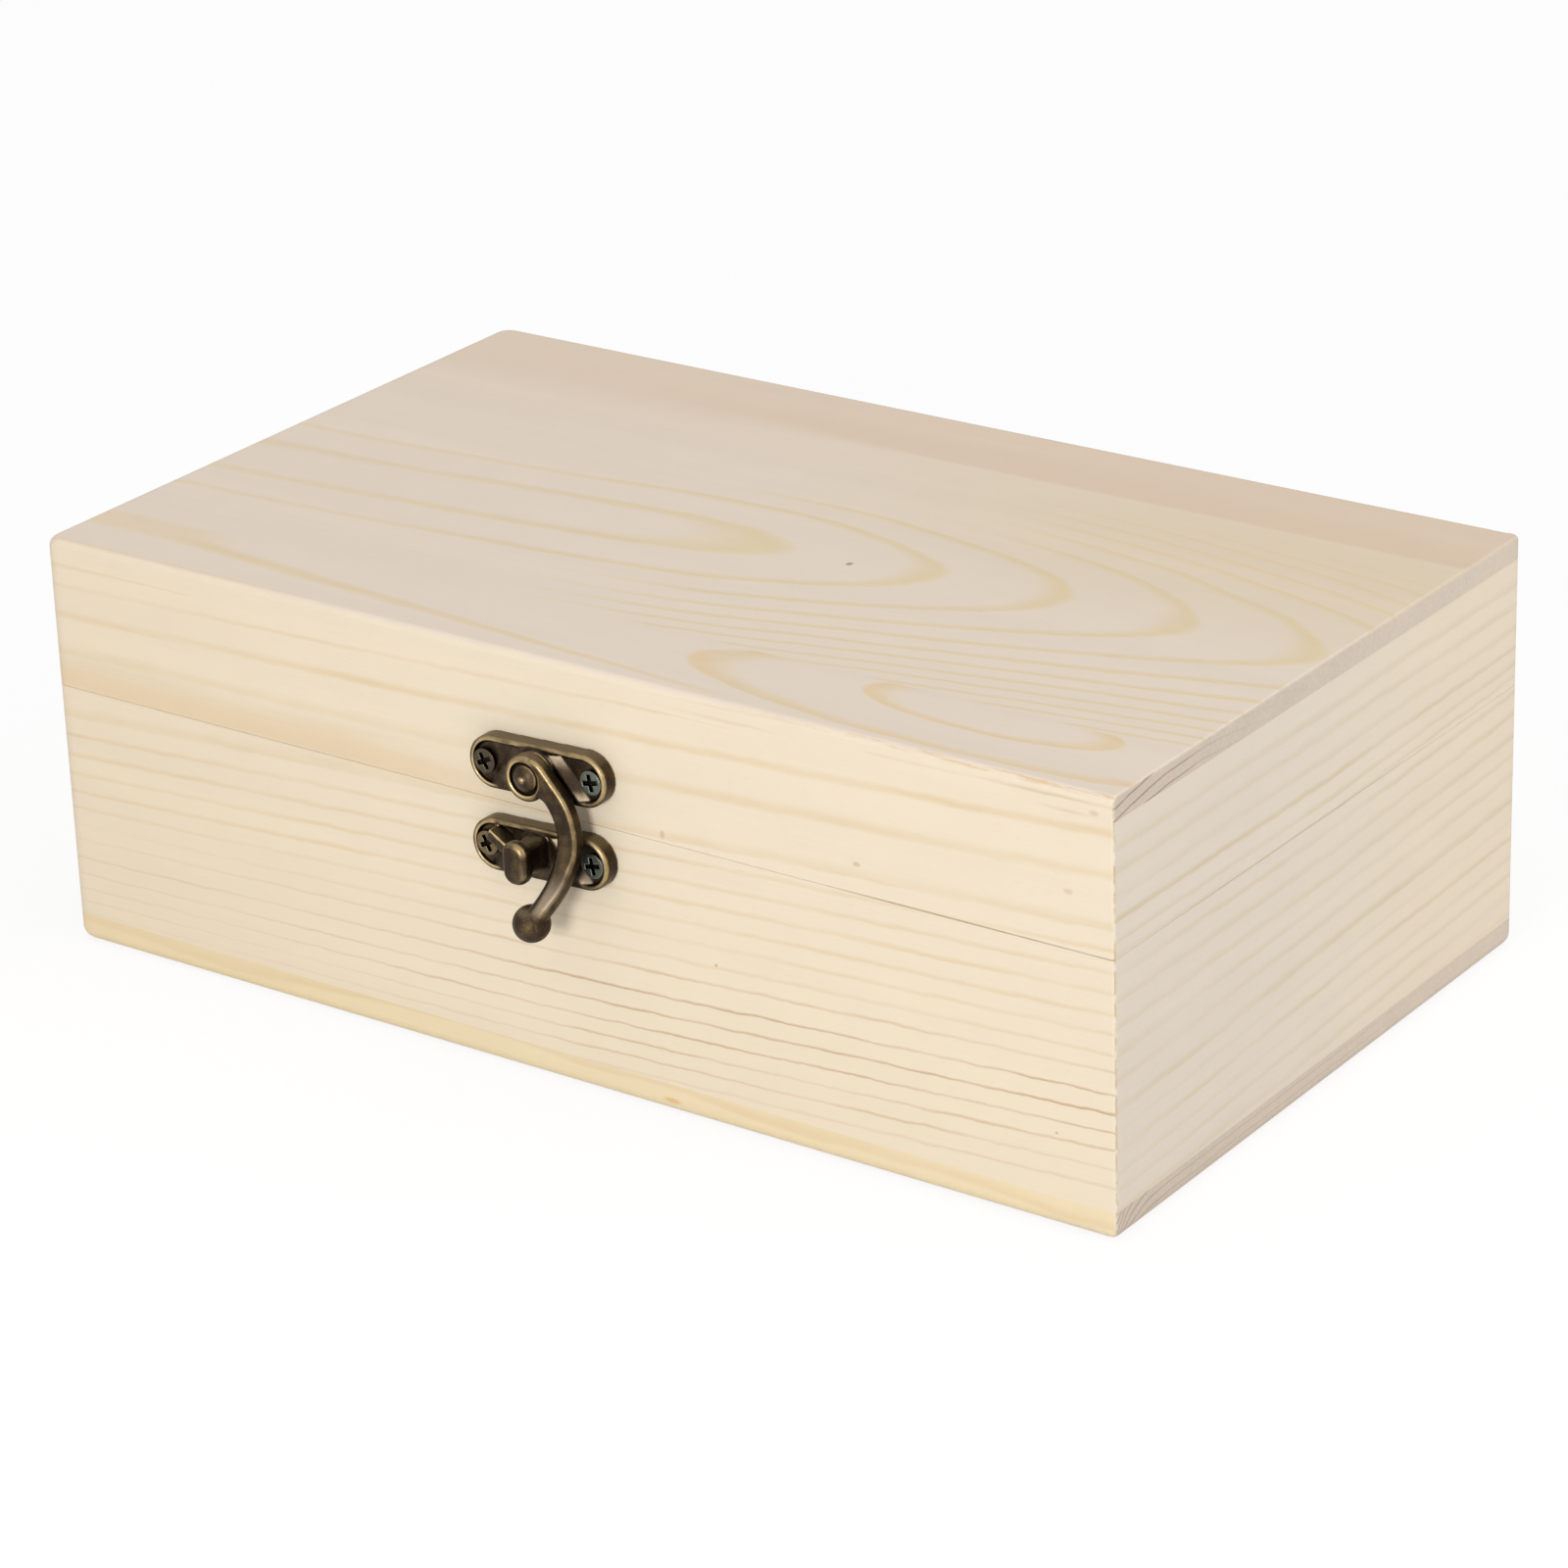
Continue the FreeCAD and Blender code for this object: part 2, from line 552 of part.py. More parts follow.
arm_shape, ball_centre = hook_arm()
arm = doc.addObject("Part::Feature", "hook_arm")
arm.Shape = arm_shape
ball = sphere("hook_ball", "ball_diameter/2")
ball.Placement = FreeCAD.Placement(ball_centre, Rotation())
plain_eye = cylinder("plain_eye", "eye_diameter", "eye_thickness", "0", "0", EYE_BACK)
eye_face = size("pad_height") + size("hook_gap") + size("eye_thickness")
eye = fillet("hook_eye", plain_eye,
             lambda edge: "eye_round" if abs(edge.BoundBox.ZMin - eye_face) < NEAR else None)
eye_holes = fuse("eye_holes", [
    cylinder("eye_recess_hole", "eye_recess", "eye_recess_depth + overshoot", "0", "0",
             f"{EYE_FRONT} - eye_recess_depth"),
    cylinder("eye_rivet_hole", "rivet_shank + 2*rivet_clear", "eye_thickness + 2*overshoot", "0", "0",
             f"{EYE_BACK} - overshoot"),
])
hook = cut("latch_hook_solid", fuse("hook_blank", [eye, arm, ball]), eye_holes)
node("latch_hook", place(hook, "latch_side", FRONT, "latch_height", TO_FRONT))


# Hinges: two leaves on the back of the box, joined by a pin through three knuckles

def knuckle(name, x, length, bore_clear):
    """One knuckle of the barrel, starting at x, and the bore for its pin."""
    barrel = cylinder(name, "barrel_diameter", length, x, HINGE_Y, HINGE_Z, TO_RIGHT)
    bore = cylinder(name + "_bore", f"pin_diameter + 2*{bore_clear}", f"{length} + 2*overshoot",
                    f"{x} - overshoot", HINGE_Y, HINGE_Z, TO_RIGHT)
    return barrel, bore


def leaf(label, hinge_x, side, up, knuckles, bore_clear):
    """A hinge leaf above (up is +) or below (up is -) the barrel, with its knuckles and two screw seats."""
    flat_height = "(leaf_height - leaf_relief)"
    flat_low = f"{HINGE_Z} + leaf_relief" if up == "+" else f"{HINGE_Z} - leaf_height"
    plain = box(label + "_flat", "leaf_width", "leaf_thickness", flat_height, f"{hinge_x} - leaf_width/2",
                BACK, flat_low)
    hinge_z = size("cut_height") + size("cut_gap") / 2
    far_z = hinge_z + size("leaf_height") * (1 if up == "+" else -1)

    def outer_corner(edge):
        through = edge.BoundBox.YLength > NEAR
        return "leaf_round" if through and abs(edge.BoundBox.ZMax - far_z) < NEAR else None

    solids = [fillet(label + "_rounded", plain, outer_corner)]
    holes = []
    web_low = HINGE_Z if up == "+" else f"{HINGE_Z} - leaf_relief"
    for number, (x, length) in enumerate(knuckles, start=1):
        barrel, bore = knuckle(f"{label}_knuckle_{number}", x, length, bore_clear)
        web = box(f"{label}_web_{number}", length, "leaf_thickness + barrel_clear", "leaf_relief", x, BACK,
                  web_low)
        solids += [barrel, web]
        holes.append(bore)
    for sign in "-+":
        x, z = hinge_screw_x(side, sign), f"{HINGE_Z} {up} hinge_screw_drop"
        name = label + ("_seat_left" if sign == "-" else "_seat_right")
        holes.append(cone(name, SCREW_HOLE, "hinge_screw_taper + 2*screw_clear", "hinge_screw_taper_height",
                          x, f"{BACK} + leaf_thickness - hinge_screw_taper_height", z, TO_BACK))
        holes.append(cylinder(name + "_hole", SCREW_HOLE, "leaf_thickness", x, BACK, z, TO_BACK))
    return node(label, cut(label + "_solid", fuse(label + "_blank", solids), fuse(label + "_holes", holes)))


def hinge_screws(label, side, up):
    """The two screws of one hinge leaf, as one sub-part."""
    z = f"{HINGE_Z} {up} hinge_screw_drop"
    screws = []
    for number, sign in enumerate("-+", start=1):
        x = hinge_screw_x(side, sign)
        screws.append(screw(f"{label}_{number}", "hinge_screw", x, f"{BACK} + leaf_thickness", z, TO_BACK,
                            SLOT_STEP * number))
    group = doc.addObject("Part::Compound", label + "_pair")
    group.Links = screws
    return node(label, group)


def hinge_pin(label, hinge_x):
    """A straight pin with chamfered ends."""
    reach = "leaf_width/2 + pin_overhang"
    plain = cylinder(label + "_plain", "pin_diameter", f"2*({reach})", f"{hinge_x} - ({reach})",
                     HINGE_Y, HINGE_Z, TO_RIGHT)
    doc.recompute()
    item = doc.addObject("Part::Chamfer", label + "_solid")
    item.Base = plain
    item.Edges = [(number, size("pin_chamfer"), size("pin_chamfer"))
                  for number, edge in enumerate(plain.Shape.Edges, start=1) if edge.BoundBox.XLength < NEAR]
    return node(label, item)


for side, sign in LEFT_AND_RIGHT.items():
    hinge_x = f"{sign}hinge_side"
    outer_length = "(leaf_width - knuckle_length)/2 - knuckle_gap"
    outer = [(f"{hinge_x} - leaf_width/2", outer_length),
             (f"{hinge_x} + knuckle_length/2 + knuckle_gap", outer_length)]
    middle = [(f"{hinge_x} - knuckle_length/2", "knuckle_length")]
    leaf(f"{side}_hinge_base_leaf", hinge_x, side, "-", outer, "pin_tight_clear")
    leaf(f"{side}_hinge_lid_leaf", hinge_x, side, "+", middle, "pin_running_clear")
    hinge_pin(f"{side}_hinge_pin", hinge_x)
    hinge_screws(f"{side}_hinge_base_screws", side, "-")
    hinge_screws(f"{side}_hinge_lid_screws", side, "+")


# Check every object, then write one file for each sub-part

doc.recompute()
for item in doc.Objects:
    if {"Invalid", "Error"} & set(item.State):
        raise RuntimeError(f"{item.Label} failed: {item.State}")
for label, item in nodes.items():
    if item.Shape.isNull() or not item.Shape.isValid():
        raise RuntimeError(f"{label} has no valid shape")

os.makedirs("parts", exist_ok=True)
for label, item in nodes.items():
    item.Shape.exportStep(f"parts/{label}.step")
    extent = item.Shape.BoundBox
    print(f"{label}: {len(item.Shape.Solids)} solid(s), {item.Shape.Volume:.1f} mm3,"
          f" {extent.XLength:.1f} x {extent.YLength:.1f} x {extent.ZLength:.1f} mm")
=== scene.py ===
# %% [markdown]
# # A hinged pine box with a swing-hook latch
# The boards, the latch and the hinges are already built to size. This lesson gives them their looks: bare
# sanded pine with every growth ring in its place, and small castings of antique brass. The sized parts
# are loaded first, and nothing below moves or resizes them.

# %% Load the sized parts
import math

import bmesh
import bpy
import numpy as np
from mathutils import Matrix, Vector


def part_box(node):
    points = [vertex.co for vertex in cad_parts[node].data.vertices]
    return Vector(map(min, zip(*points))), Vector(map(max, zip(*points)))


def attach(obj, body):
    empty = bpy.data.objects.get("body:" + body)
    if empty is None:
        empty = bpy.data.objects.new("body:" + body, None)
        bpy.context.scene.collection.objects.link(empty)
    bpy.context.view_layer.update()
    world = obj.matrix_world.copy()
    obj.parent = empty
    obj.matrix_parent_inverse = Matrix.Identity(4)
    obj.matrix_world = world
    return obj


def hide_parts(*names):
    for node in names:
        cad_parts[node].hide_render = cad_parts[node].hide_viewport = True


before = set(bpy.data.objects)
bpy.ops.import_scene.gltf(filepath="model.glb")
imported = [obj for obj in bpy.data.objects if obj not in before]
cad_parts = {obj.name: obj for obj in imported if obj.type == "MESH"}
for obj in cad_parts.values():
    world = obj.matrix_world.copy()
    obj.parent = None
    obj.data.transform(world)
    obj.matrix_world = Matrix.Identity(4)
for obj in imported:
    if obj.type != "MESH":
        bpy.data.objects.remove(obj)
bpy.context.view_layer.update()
MM = 0.001

# %% [markdown]
# ## The camera
# A box shows its proportions best through a long lens from a little above. The camera looks at the middle
# of the box from the right of the front, tips a little to one side, and is slid down a few millimetres so
# that the box sits in the middle of a square picture. Building the turn from three directions is clearer
# than three angles, because each column of the matrix is one direction that can be pictured.

# %% Set up the camera
AZIMUTH, ELEVATION, TIP = math.radians(35.93), math.radians(23.46), math.radians(1.94)
DISTANCE = 870.6 * MM
SLIDE_RIGHT, SLIDE_DOWN = 0.48 * MM, 7.03 * MM
FOCAL_LENGTH, SENSOR_WIDTH = 125.62, 36.0

box_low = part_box("bottom_panel")[0]
box_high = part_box("top_panel")[1]
box_middle = (box_low + box_high) / 2


def photo_camera():
    """A camera that looks at the middle of the box as a photographer would."""
    level = math.cos(ELEVATION)
    back = Vector((math.sin(AZIMUTH) * level, -math.cos(AZIMUTH) * level, math.sin(ELEVATION)))
    flat_right = (-back).cross(Vector((0, 0, 1))).normalized()
    flat_down = (-back).cross(flat_right)
    right = math.cos(TIP) * flat_right + math.sin(TIP) * flat_down
    down = math.cos(TIP) * flat_down - math.sin(TIP) * flat_right
    turn = Matrix((right, -down, back)).transposed().to_4x4()
    place = box_middle + back * DISTANCE + right * SLIDE_RIGHT + down * SLIDE_DOWN
    lens = bpy.data.cameras.new("photo_lens")
    lens.lens = FOCAL_LENGTH
    lens.sensor_width = SENSOR_WIDTH
    camera = bpy.data.objects.new("photo_camera", lens)
    camera.matrix_world = Matrix.Translation(place) @ turn
    bpy.context.scene.collection.objects.link(camera)
    return camera


scene = bpy.context.scene
scene.camera = photo_camera()
scene.view_settings.view_transform = "Standard"
print("camera at", [round(c / MM) for c in scene.camera.location], "mm")

# %% [markdown]
# ## Fields: arithmetic with nodes
# Wood is made of layers, so its finish is mostly arithmetic: how far is this point from a growth ring,
# and is it early wood or late wood? In the node editor that is a web of Math nodes. A small class with
# Python's own plus and times signs builds the same web, and the finishes below can then be read as
# formulas.


# %% A finish and its fields
class Field:
    """A number that changes over a surface: one output of a node."""

    def __init__(self, finish, socket):
        self.finish = finish
        self.socket = socket

    def __add__(self, other):
        return self.finish.maths("ADD", self, other)

    def __sub__(self, other):
        return self.finish.maths("SUBTRACT", self, other)

    def __rsub__(self, other):
        return self.finish.maths("SUBTRACT", other, self)

    def __mul__(self, other):
        return self.finish.maths("MULTIPLY", self, other)

    def __truediv__(self, other):
        return self.finish.maths("DIVIDE", self, other)

    __radd__ = __add__
    __rmul__ = __mul__


class Finish:
    """A material that is built node by node, with places on the piece in millimetres."""

    def __init__(self, name):
        self.material = bpy.data.materials.new(name)
        self.material.use_nodes = True
        self.tree = self.material.node_tree
        self.shader = self.tree.nodes["Principled BSDF"]
        places = self.tree.nodes.new("ShaderNodeTexCoord")
        self.place = self.node("ShaderNodeVectorMath", {0: places.outputs["Object"], "Scale": 1 / MM},
                               operation="SCALE").socket
        self.x, self.y, self.z = self.split(self.place)
        self.facing = self.split(places.outputs["Normal"])

    def node(self, kind, inputs, output=0, **settings):
        """Adds a node, sets it up, feeds its inputs and hands back one output."""
        made = self.tree.nodes.new(kind)
        for key, value in settings.items():
            setattr(made, key, value)
        for key, value in inputs.items():
            self.feed(made.inputs[key], value)
        return Field(self, made.outputs[output])

    def feed(self, socket, value):
        """Links a field or an output to an input, or sets the input to a plain value."""
        if isinstance(value, Field):
            value = value.socket
        if isinstance(value, bpy.types.NodeSocket):
            self.tree.links.new(value, socket)
        else:
            socket.default_value = value

    def split(self, vector):
        """The three parts of a vector as fields."""
        parts = self.tree.nodes.new("ShaderNodeSeparateXYZ")
        self.feed(parts.inputs[0], vector)
        return [Field(self, output) for output in parts.outputs]

    def maths(self, operation, *values):
        """One Math node."""
        return self.node("ShaderNodeMath", dict(enumerate(values)), operation=operation)

    def soft_step(self, value, start, end):
        """Goes smoothly from 0 at start to 1 at end."""
        settings = {"Value": value, "From Min": start, "From Max": end, "To Min": 0.0, "To Max": 1.0}
        return self.node("ShaderNodeMapRange", settings, interpolation_type="SMOOTHSTEP")

    def noise(self, per_mm, detail=2.0, roughness=0.5, seed=0.0):
        """Soft noise from 0 to 1, with so many waves for each millimetre along x, y and z."""
        vector = self.node("ShaderNodeVectorMath", {0: self.place, 1: per_mm, 2: (seed, seed, seed)},
                           operation="MULTIPLY_ADD")
        return self.node("ShaderNodeTexNoise", {"Vector": vector, "Scale": 1.0, "Detail": detail,
                                                "Roughness": roughness})

    def mix(self, below, above, amount):
        """Goes from one colour to another by an amount from 0 to 1."""
        return self.node("ShaderNodeMix", {0: amount, 6: below, 7: above}, output=2, data_type="RGBA")

    def shade(self, colour, amount):
        """A colour made lighter or darker by a factor."""
        return self.node("ShaderNodeVectorMath", {0: colour, "Scale": amount}, operation="SCALE")

    def through(self, value, points, smooth=True):
        """A curve through points of (value, result), flat beyond its ends."""
        lows, highs = np.min(points, axis=0), np.max(points, axis=0)
        reach = highs - lows
        share = self.node("ShaderNodeMapRange", {"Value": value, "From Min": lows[0], "From Max": highs[0]})
        curve = self.tree.nodes.new("ShaderNodeFloatCurve")
        line = curve.mapping.curves[0].points
        for _ in points[2:]:
            line.new(0.5, 0.5)
        for knot, point in zip(line, sorted(points)):
            knot.location = (np.array(point) - lows) / reach
            knot.handle_type = "AUTO_CLAMPED" if smooth else "VECTOR"
        curve.mapping.update()
        self.feed(curve.inputs["Value"], share)
        return Field(self, curve.outputs[0]) * float(reach[1]) + float(lows[1])


def paint(red, green, blue):
    """A colour as it is seen, from 0 to 255, in the linear numbers that shaders use."""
    seen = np.array((red, green, blue)) / 255
    linear = np.where(seen <= 0.04045, seen / 12.92, ((seen + 0.055) / 1.055) ** 2.4)
    return (*linear.tolist(), 1.0)


def dress(material, *names):
    """Puts a finish on pieces by name."""
    for name in names:
        piece = bpy.data.objects[name]
        piece.data.materials.clear()
        piece.data.materials.append(material)


print("the node kit is ready")

# %% [markdown]
# ## Light and a white floor
# Product pictures of small wooden things are taken on white paper between large soft lamps. The room
# light here is a pale sky that is brighter overhead. A lamp straight before the front, a little higher
# than the box, gives the latch its soft shadow and makes the slopes that face it glint, and a broad one
# lights the right side. What the camera and the metal see beyond the box is plain white paper, while the
# floor keeps a faint shadow.

# %% Room, lamps and floor
SKY_LEVEL, SKY_OVERHEAD = 0.20, 0.89
FRONT_LAMP = {"place": (230, -1050, 260), "size": 320, "power": 4.8}
RIGHT_LAMP = {"place": (1450, 250, 650), "size": 900, "power": 6.4}
FLOOR_SIZE = 8.0
FLOOR_GREY = 0.72
GLOW_SHARE, GLOW_LEVEL = 0.72, 1.15


def seen_directly(nodes, links):
    """1 for what the camera, a reflection or glass looks at, and 0 for what only gives light."""
    path = nodes.new("ShaderNodeLightPath")
    seen = path.outputs["Is Camera Ray"]
    for name in ("Is Glossy Ray", "Is Transmission Ray"):
        either = nodes.new("ShaderNodeMath")
        either.operation = "MAXIMUM"
        links.new(seen, either.inputs[0])
        links.new(path.outputs[name], either.inputs[1])
        seen = either.outputs[0]
    return seen


def light_the_room():
    """A pale sky for light, and white paper for what is seen."""
    world = bpy.data.worlds.new("studio")
    scene.world = world
    world.use_nodes = True
    nodes, links = world.node_tree.nodes, world.node_tree.links
    light = nodes["Background"]
    direction = nodes.new("ShaderNodeTexCoord")
    parts = nodes.new("ShaderNodeSeparateXYZ")
    links.new(direction.outputs["Generated"], parts.inputs[0])
    level = nodes.new("ShaderNodeMapRange")
    level.interpolation_type = "SMOOTHSTEP"
    level.inputs["From Min"].default_value = 0.1
    level.inputs["From Max"].default_value = 1.0
    level.inputs["To Min"].default_value = SKY_LEVEL
    level.inputs["To Max"].default_value = SKY_OVERHEAD
    links.new(parts.outputs["Z"], level.inputs["Value"])
    links.new(level.outputs[0], light.inputs["Strength"])
    light.inputs["Color"].default_value = (1.0, 1.0, 1.0, 1.0)
    paper = nodes.new("ShaderNodeBackground")
    paper.inputs["Color"].default_value = (1.0, 1.0, 1.0, 1.0)
    paper.inputs["Strength"].default_value = 1.0
    both = nodes.new("ShaderNodeMixShader")
    links.new(seen_directly(nodes, links), both.inputs[0])
    links.new(light.outputs[0], both.inputs[1])
    links.new(paper.outputs[0], both.inputs[2])
    links.new(both.outputs[0], nodes["World Output"].inputs["Surface"])


def hang_lamp(name, place, size, power):
    """One broad lamp that looks at the box, with its place and size in millimetres."""
    bulb = bpy.data.lights.new(name, "AREA")
    bulb.shape = "DISK"
    bulb.size = size * MM
    bulb.energy = power
    lamp = bpy.data.objects.new(name, bulb)
    lamp.location = Vector(place) * MM
    lamp.rotation_euler = (box_middle - lamp.location).to_track_quat("-Z", "Y").to_euler()
    scene.collection.objects.link(lamp)


def lay_floor():
    """White paper under the box, which shows a faint shadow."""
    half = FLOOR_SIZE / 2
    corners = [(-half, -half, 0), (half, -half, 0), (half, half, 0), (-half, half, 0)]
    sheet = bpy.data.meshes.new("paper_floor")
    sheet.from_pydata(corners, [], [(0, 1, 2, 3)])
    floor = bpy.data.objects.new("paper_floor", sheet)
    floor.location.z = box_low.z - 0.02 * MM
    scene.collection.objects.link(floor)
    paper = bpy.data.materials.new("white_paper")
    paper.use_nodes = True
    nodes, links = paper.node_tree.nodes, paper.node_tree.links
    matt = nodes["Principled BSDF"]
    matt.inputs["Base Color"].default_value = (FLOOR_GREY, FLOOR_GREY, FLOOR_GREY, 1.0)
    matt.inputs["Roughness"].default_value = 1.0
    matt.inputs["Specular IOR Level"].default_value = 0.0
    glow = nodes.new("ShaderNodeEmission")
    both = nodes.new("ShaderNodeMixShader")
    share = nodes.new("ShaderNodeMath")
    share.operation = "MULTIPLY"
    share.inputs[1].default_value = GLOW_SHARE
    glow.inputs["Strength"].default_value = GLOW_LEVEL
    links.new(seen_directly(nodes, links), share.inputs[0])
    links.new(share.outputs[0], both.inputs[0])
    links.new(matt.outputs[0], both.inputs[1])
    links.new(glow.outputs[0], both.inputs[2])
    links.new(both.outputs[0], nodes["Material Output"].inputs["Surface"])
    sheet.materials.append(paper)


light_the_room()
hang_lamp("front_lamp", **FRONT_LAMP)
hang_lamp("right_lamp", **RIGHT_LAMP)
lay_floor()
print("two lamps, a pale sky and a white floor")

# %% [markdown]
# ## Bare pine
# Every board shares the same wood. Each year a tree lays down a wide pale band and a thin dark one, so a
# board is pale wood crossed by thin late-wood lines. Finer still are the fibres, which run with the
# board, and short dark pores. A wood texture that fits any board would repeat itself, so each board below
# says only where its own lines run, and this cell turns those lines into colour, roughness and bump.

# %% Pine colours and the shared surface
PALE_WOOD = paint(242, 226, 208)
WARM_WOOD = paint(243, 228, 203)
OCHRE_LINE = paint(234, 208, 166)
REDDISH_LINE = paint(204, 166, 130)
TAN_WOOD = paint(232, 204, 162)
# Painted shade: the front wood is darkened towards its left end, where the light falls off.
LEFT_PAINTED_SHADE = paint(240, 224, 198)
KNOT_BROWN = paint(176, 138, 94)
SEAM_SHADE_BROWN = paint(150, 118, 82)
X_GRAIN, Y_GRAIN = 0, 1


def stretched(grain, along, across):
    """Waves for each millimetre: few along the grain and many across it."""
    return tuple(along if axis == grain else across for axis in range(3))


def late_wood(finish, ring, sharp, soft, width=1.0):
    """1 on every whole ring number: it fades within sharp of a ring below it and within soft above it."""
    offset = finish.maths("FRACT", ring + 0.5) - 0.5
    reach = finish.maths("MAXIMUM", offset * (1 / soft), offset * (-1 / sharp))
    return finish.soft_step(reach / width, 1.0, 0.0)


def spot(finish, across, along, middle, size):
    """1 in a small oval and 0 outside it: a pin knot or a resin fleck."""
    u = (across - middle[0]) / size[0]
    v = (along - middle[1]) / size[1]
    return finish.soft_step(finish.maths("SQRT", u * u + v * v), 1.0, 0.35)


def surface_of_pine(finish, colour, lines, grain, pore_depth=0.06):
    """Lays fibres, pores and broad streaks over a coloured board, and gives it its feel."""
    fibres = finish.noise(stretched(grain, 0.05, 3.2), detail=4.0, roughness=0.6)
    streaks = finish.noise(stretched(grain, 0.008, 0.16), detail=2.0, seed=7.3)
    mottle = finish.noise((0.12, 0.12, 0.12), detail=3.0, seed=3.7)
    pores = finish.soft_step(finish.noise(stretched(grain, 0.6, 4.5), detail=2.0, seed=3.1), 0.64, 0.76)
    level = (fibres - 0.5) * 0.06 + (streaks - 0.5) * 0.07 + (mottle - 0.5) * 0.035 - pores * pore_depth + 1.0
    finish.feed(finish.shader.inputs["Base Color"], finish.shade(colour, level))
    finish.feed(finish.shader.inputs["Roughness"], 0.64 + (fibres - 0.5) * 0.2 - lines * 0.06)
    finish.shader.inputs["Specular IOR Level"].default_value = 0.25
    height = fibres * 0.7 + lines * 0.35 - pores * 0.8
    finish.feed(finish.shader.inputs["Normal"],
                finish.node("ShaderNodeBump", {"Height": height, "Strength": 0.5, "Distance": 0.06 * MM}))


print("pine is ready to use")

# %% [markdown]
# ## Boards cut with straight grain
# The four sides are cut so that the rings show as nearly level lines. Their heights are uneven, as years
# are, so each board lists them at its middle, with how strong and how red each one is. Slopes to the left
# and right of the middle then tilt the lines. The lid and the base were one box before the saw parted
# them, so a lid wall and the base wall below it share one finish, and the lines run on across the cut.


# %% A straight-grained board
def level_lines(finish, along, height, rings, left_slopes, right_slopes, wander, width=1.0):
    """Ring lines by their heights at the middle: how much late wood, and how red it is."""
    grain = X_GRAIN if along is finish.x else Y_GRAIN
    slow = finish.noise(stretched(grain, 0.015, 0.05), detail=1.0, seed=2.2) - 0.5
    quick = finish.noise(stretched(grain, 0.17, 0.30), detail=3.0, roughness=0.6, seed=5.9) - 0.5
    lift = (finish.maths("MINIMUM", along, 0.0) * finish.through(height, left_slopes)
            + finish.maths("MAXIMUM", along, 0.0) * finish.through(height, right_slopes))
    level = height - lift + slow * wander + quick * wander
    number = finish.through(level, [(ring[0], i) for i, ring in enumerate(rings)], smooth=False)
    strength = finish.through(level, [(ring[0], ring[1]) for ring in rings])
    redness = finish.through(level, [(ring[0], ring[2]) for ring in rings])
    patchy = finish.soft_step(finish.noise(stretched(grain, 0.035, 0.5), detail=3.0, seed=9.7), 0.25, 0.75)
    lines = late_wood(finish, number, 0.14, 0.24, width - redness * 0.5) * strength * (0.4 + patchy * 0.9)
    return lines, redness


def saw_cut_shade(finish, along, start, end):
    """A painted shadow line along the underside of the lid, in the gap where the cut doesn't close quite tight.
    """
    gaps = finish.soft_step(finish.noise((0.11, 0.11, 0.0), detail=2.0, seed=12.0), 0.3, 0.5)
    return (finish.soft_step(finish.z, CUT_HEIGHT + 0.25, CUT_HEIGHT + 0.08)
            * finish.soft_step(finish.z, CUT_HEIGHT - 0.15, CUT_HEIGHT - 0.02)
            * finish.soft_step(along, start - 8.0, start + 8.0)
            * finish.soft_step(along, end + 8.0, end - 8.0)
            * finish.soft_step(finish.maths("ABSOLUTE", finish.facing[2]), 0.9, 0.5) * (0.3 + gaps * 0.7))


CUT_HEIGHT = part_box("base_front_wall")[1].z / MM

# %% The front boards
FRONT_RINGS = [
    (-6.0, 0.0, 0.0), (1.5, 0.0, 0.2), (4.5, 0.45, 0.5), (7.0, 0.6, 0.6), (9.5, 0.65, 0.7), (12.2, 0.85, 0.9),
    (15.1, 0.9, 0.85), (18.3, 0.95, 1.0), (22.1, 0.7, 0.6), (25.0, 0.4, 0.2), (28.4, 0.5, 0.1),
    (31.5, 0.6, 0.05), (34.8, 0.6, 0.05), (38.1, 0.6, 0.05), (41.6, 0.65, 0.05), (44.9, 0.5, 0.05),
    (53.2, 0.55, 0.0), (59.9, 0.75, 0.0), (65.0, 0.35, 0.3), (68.0, 0.35, 0.5), (80.0, 0.0, 0.0)]
FRONT_LEFT_SLOPES = [(0, 0.010), (18, 0.038), (36, 0.053), (42, 0.050), (50, 0.022), (60, 0.026), (70, 0.020)]
FRONT_RIGHT_SLOPES = [(0, 0.028), (12, 0.049), (20, 0.058), (36, 0.049), (70, 0.046)]


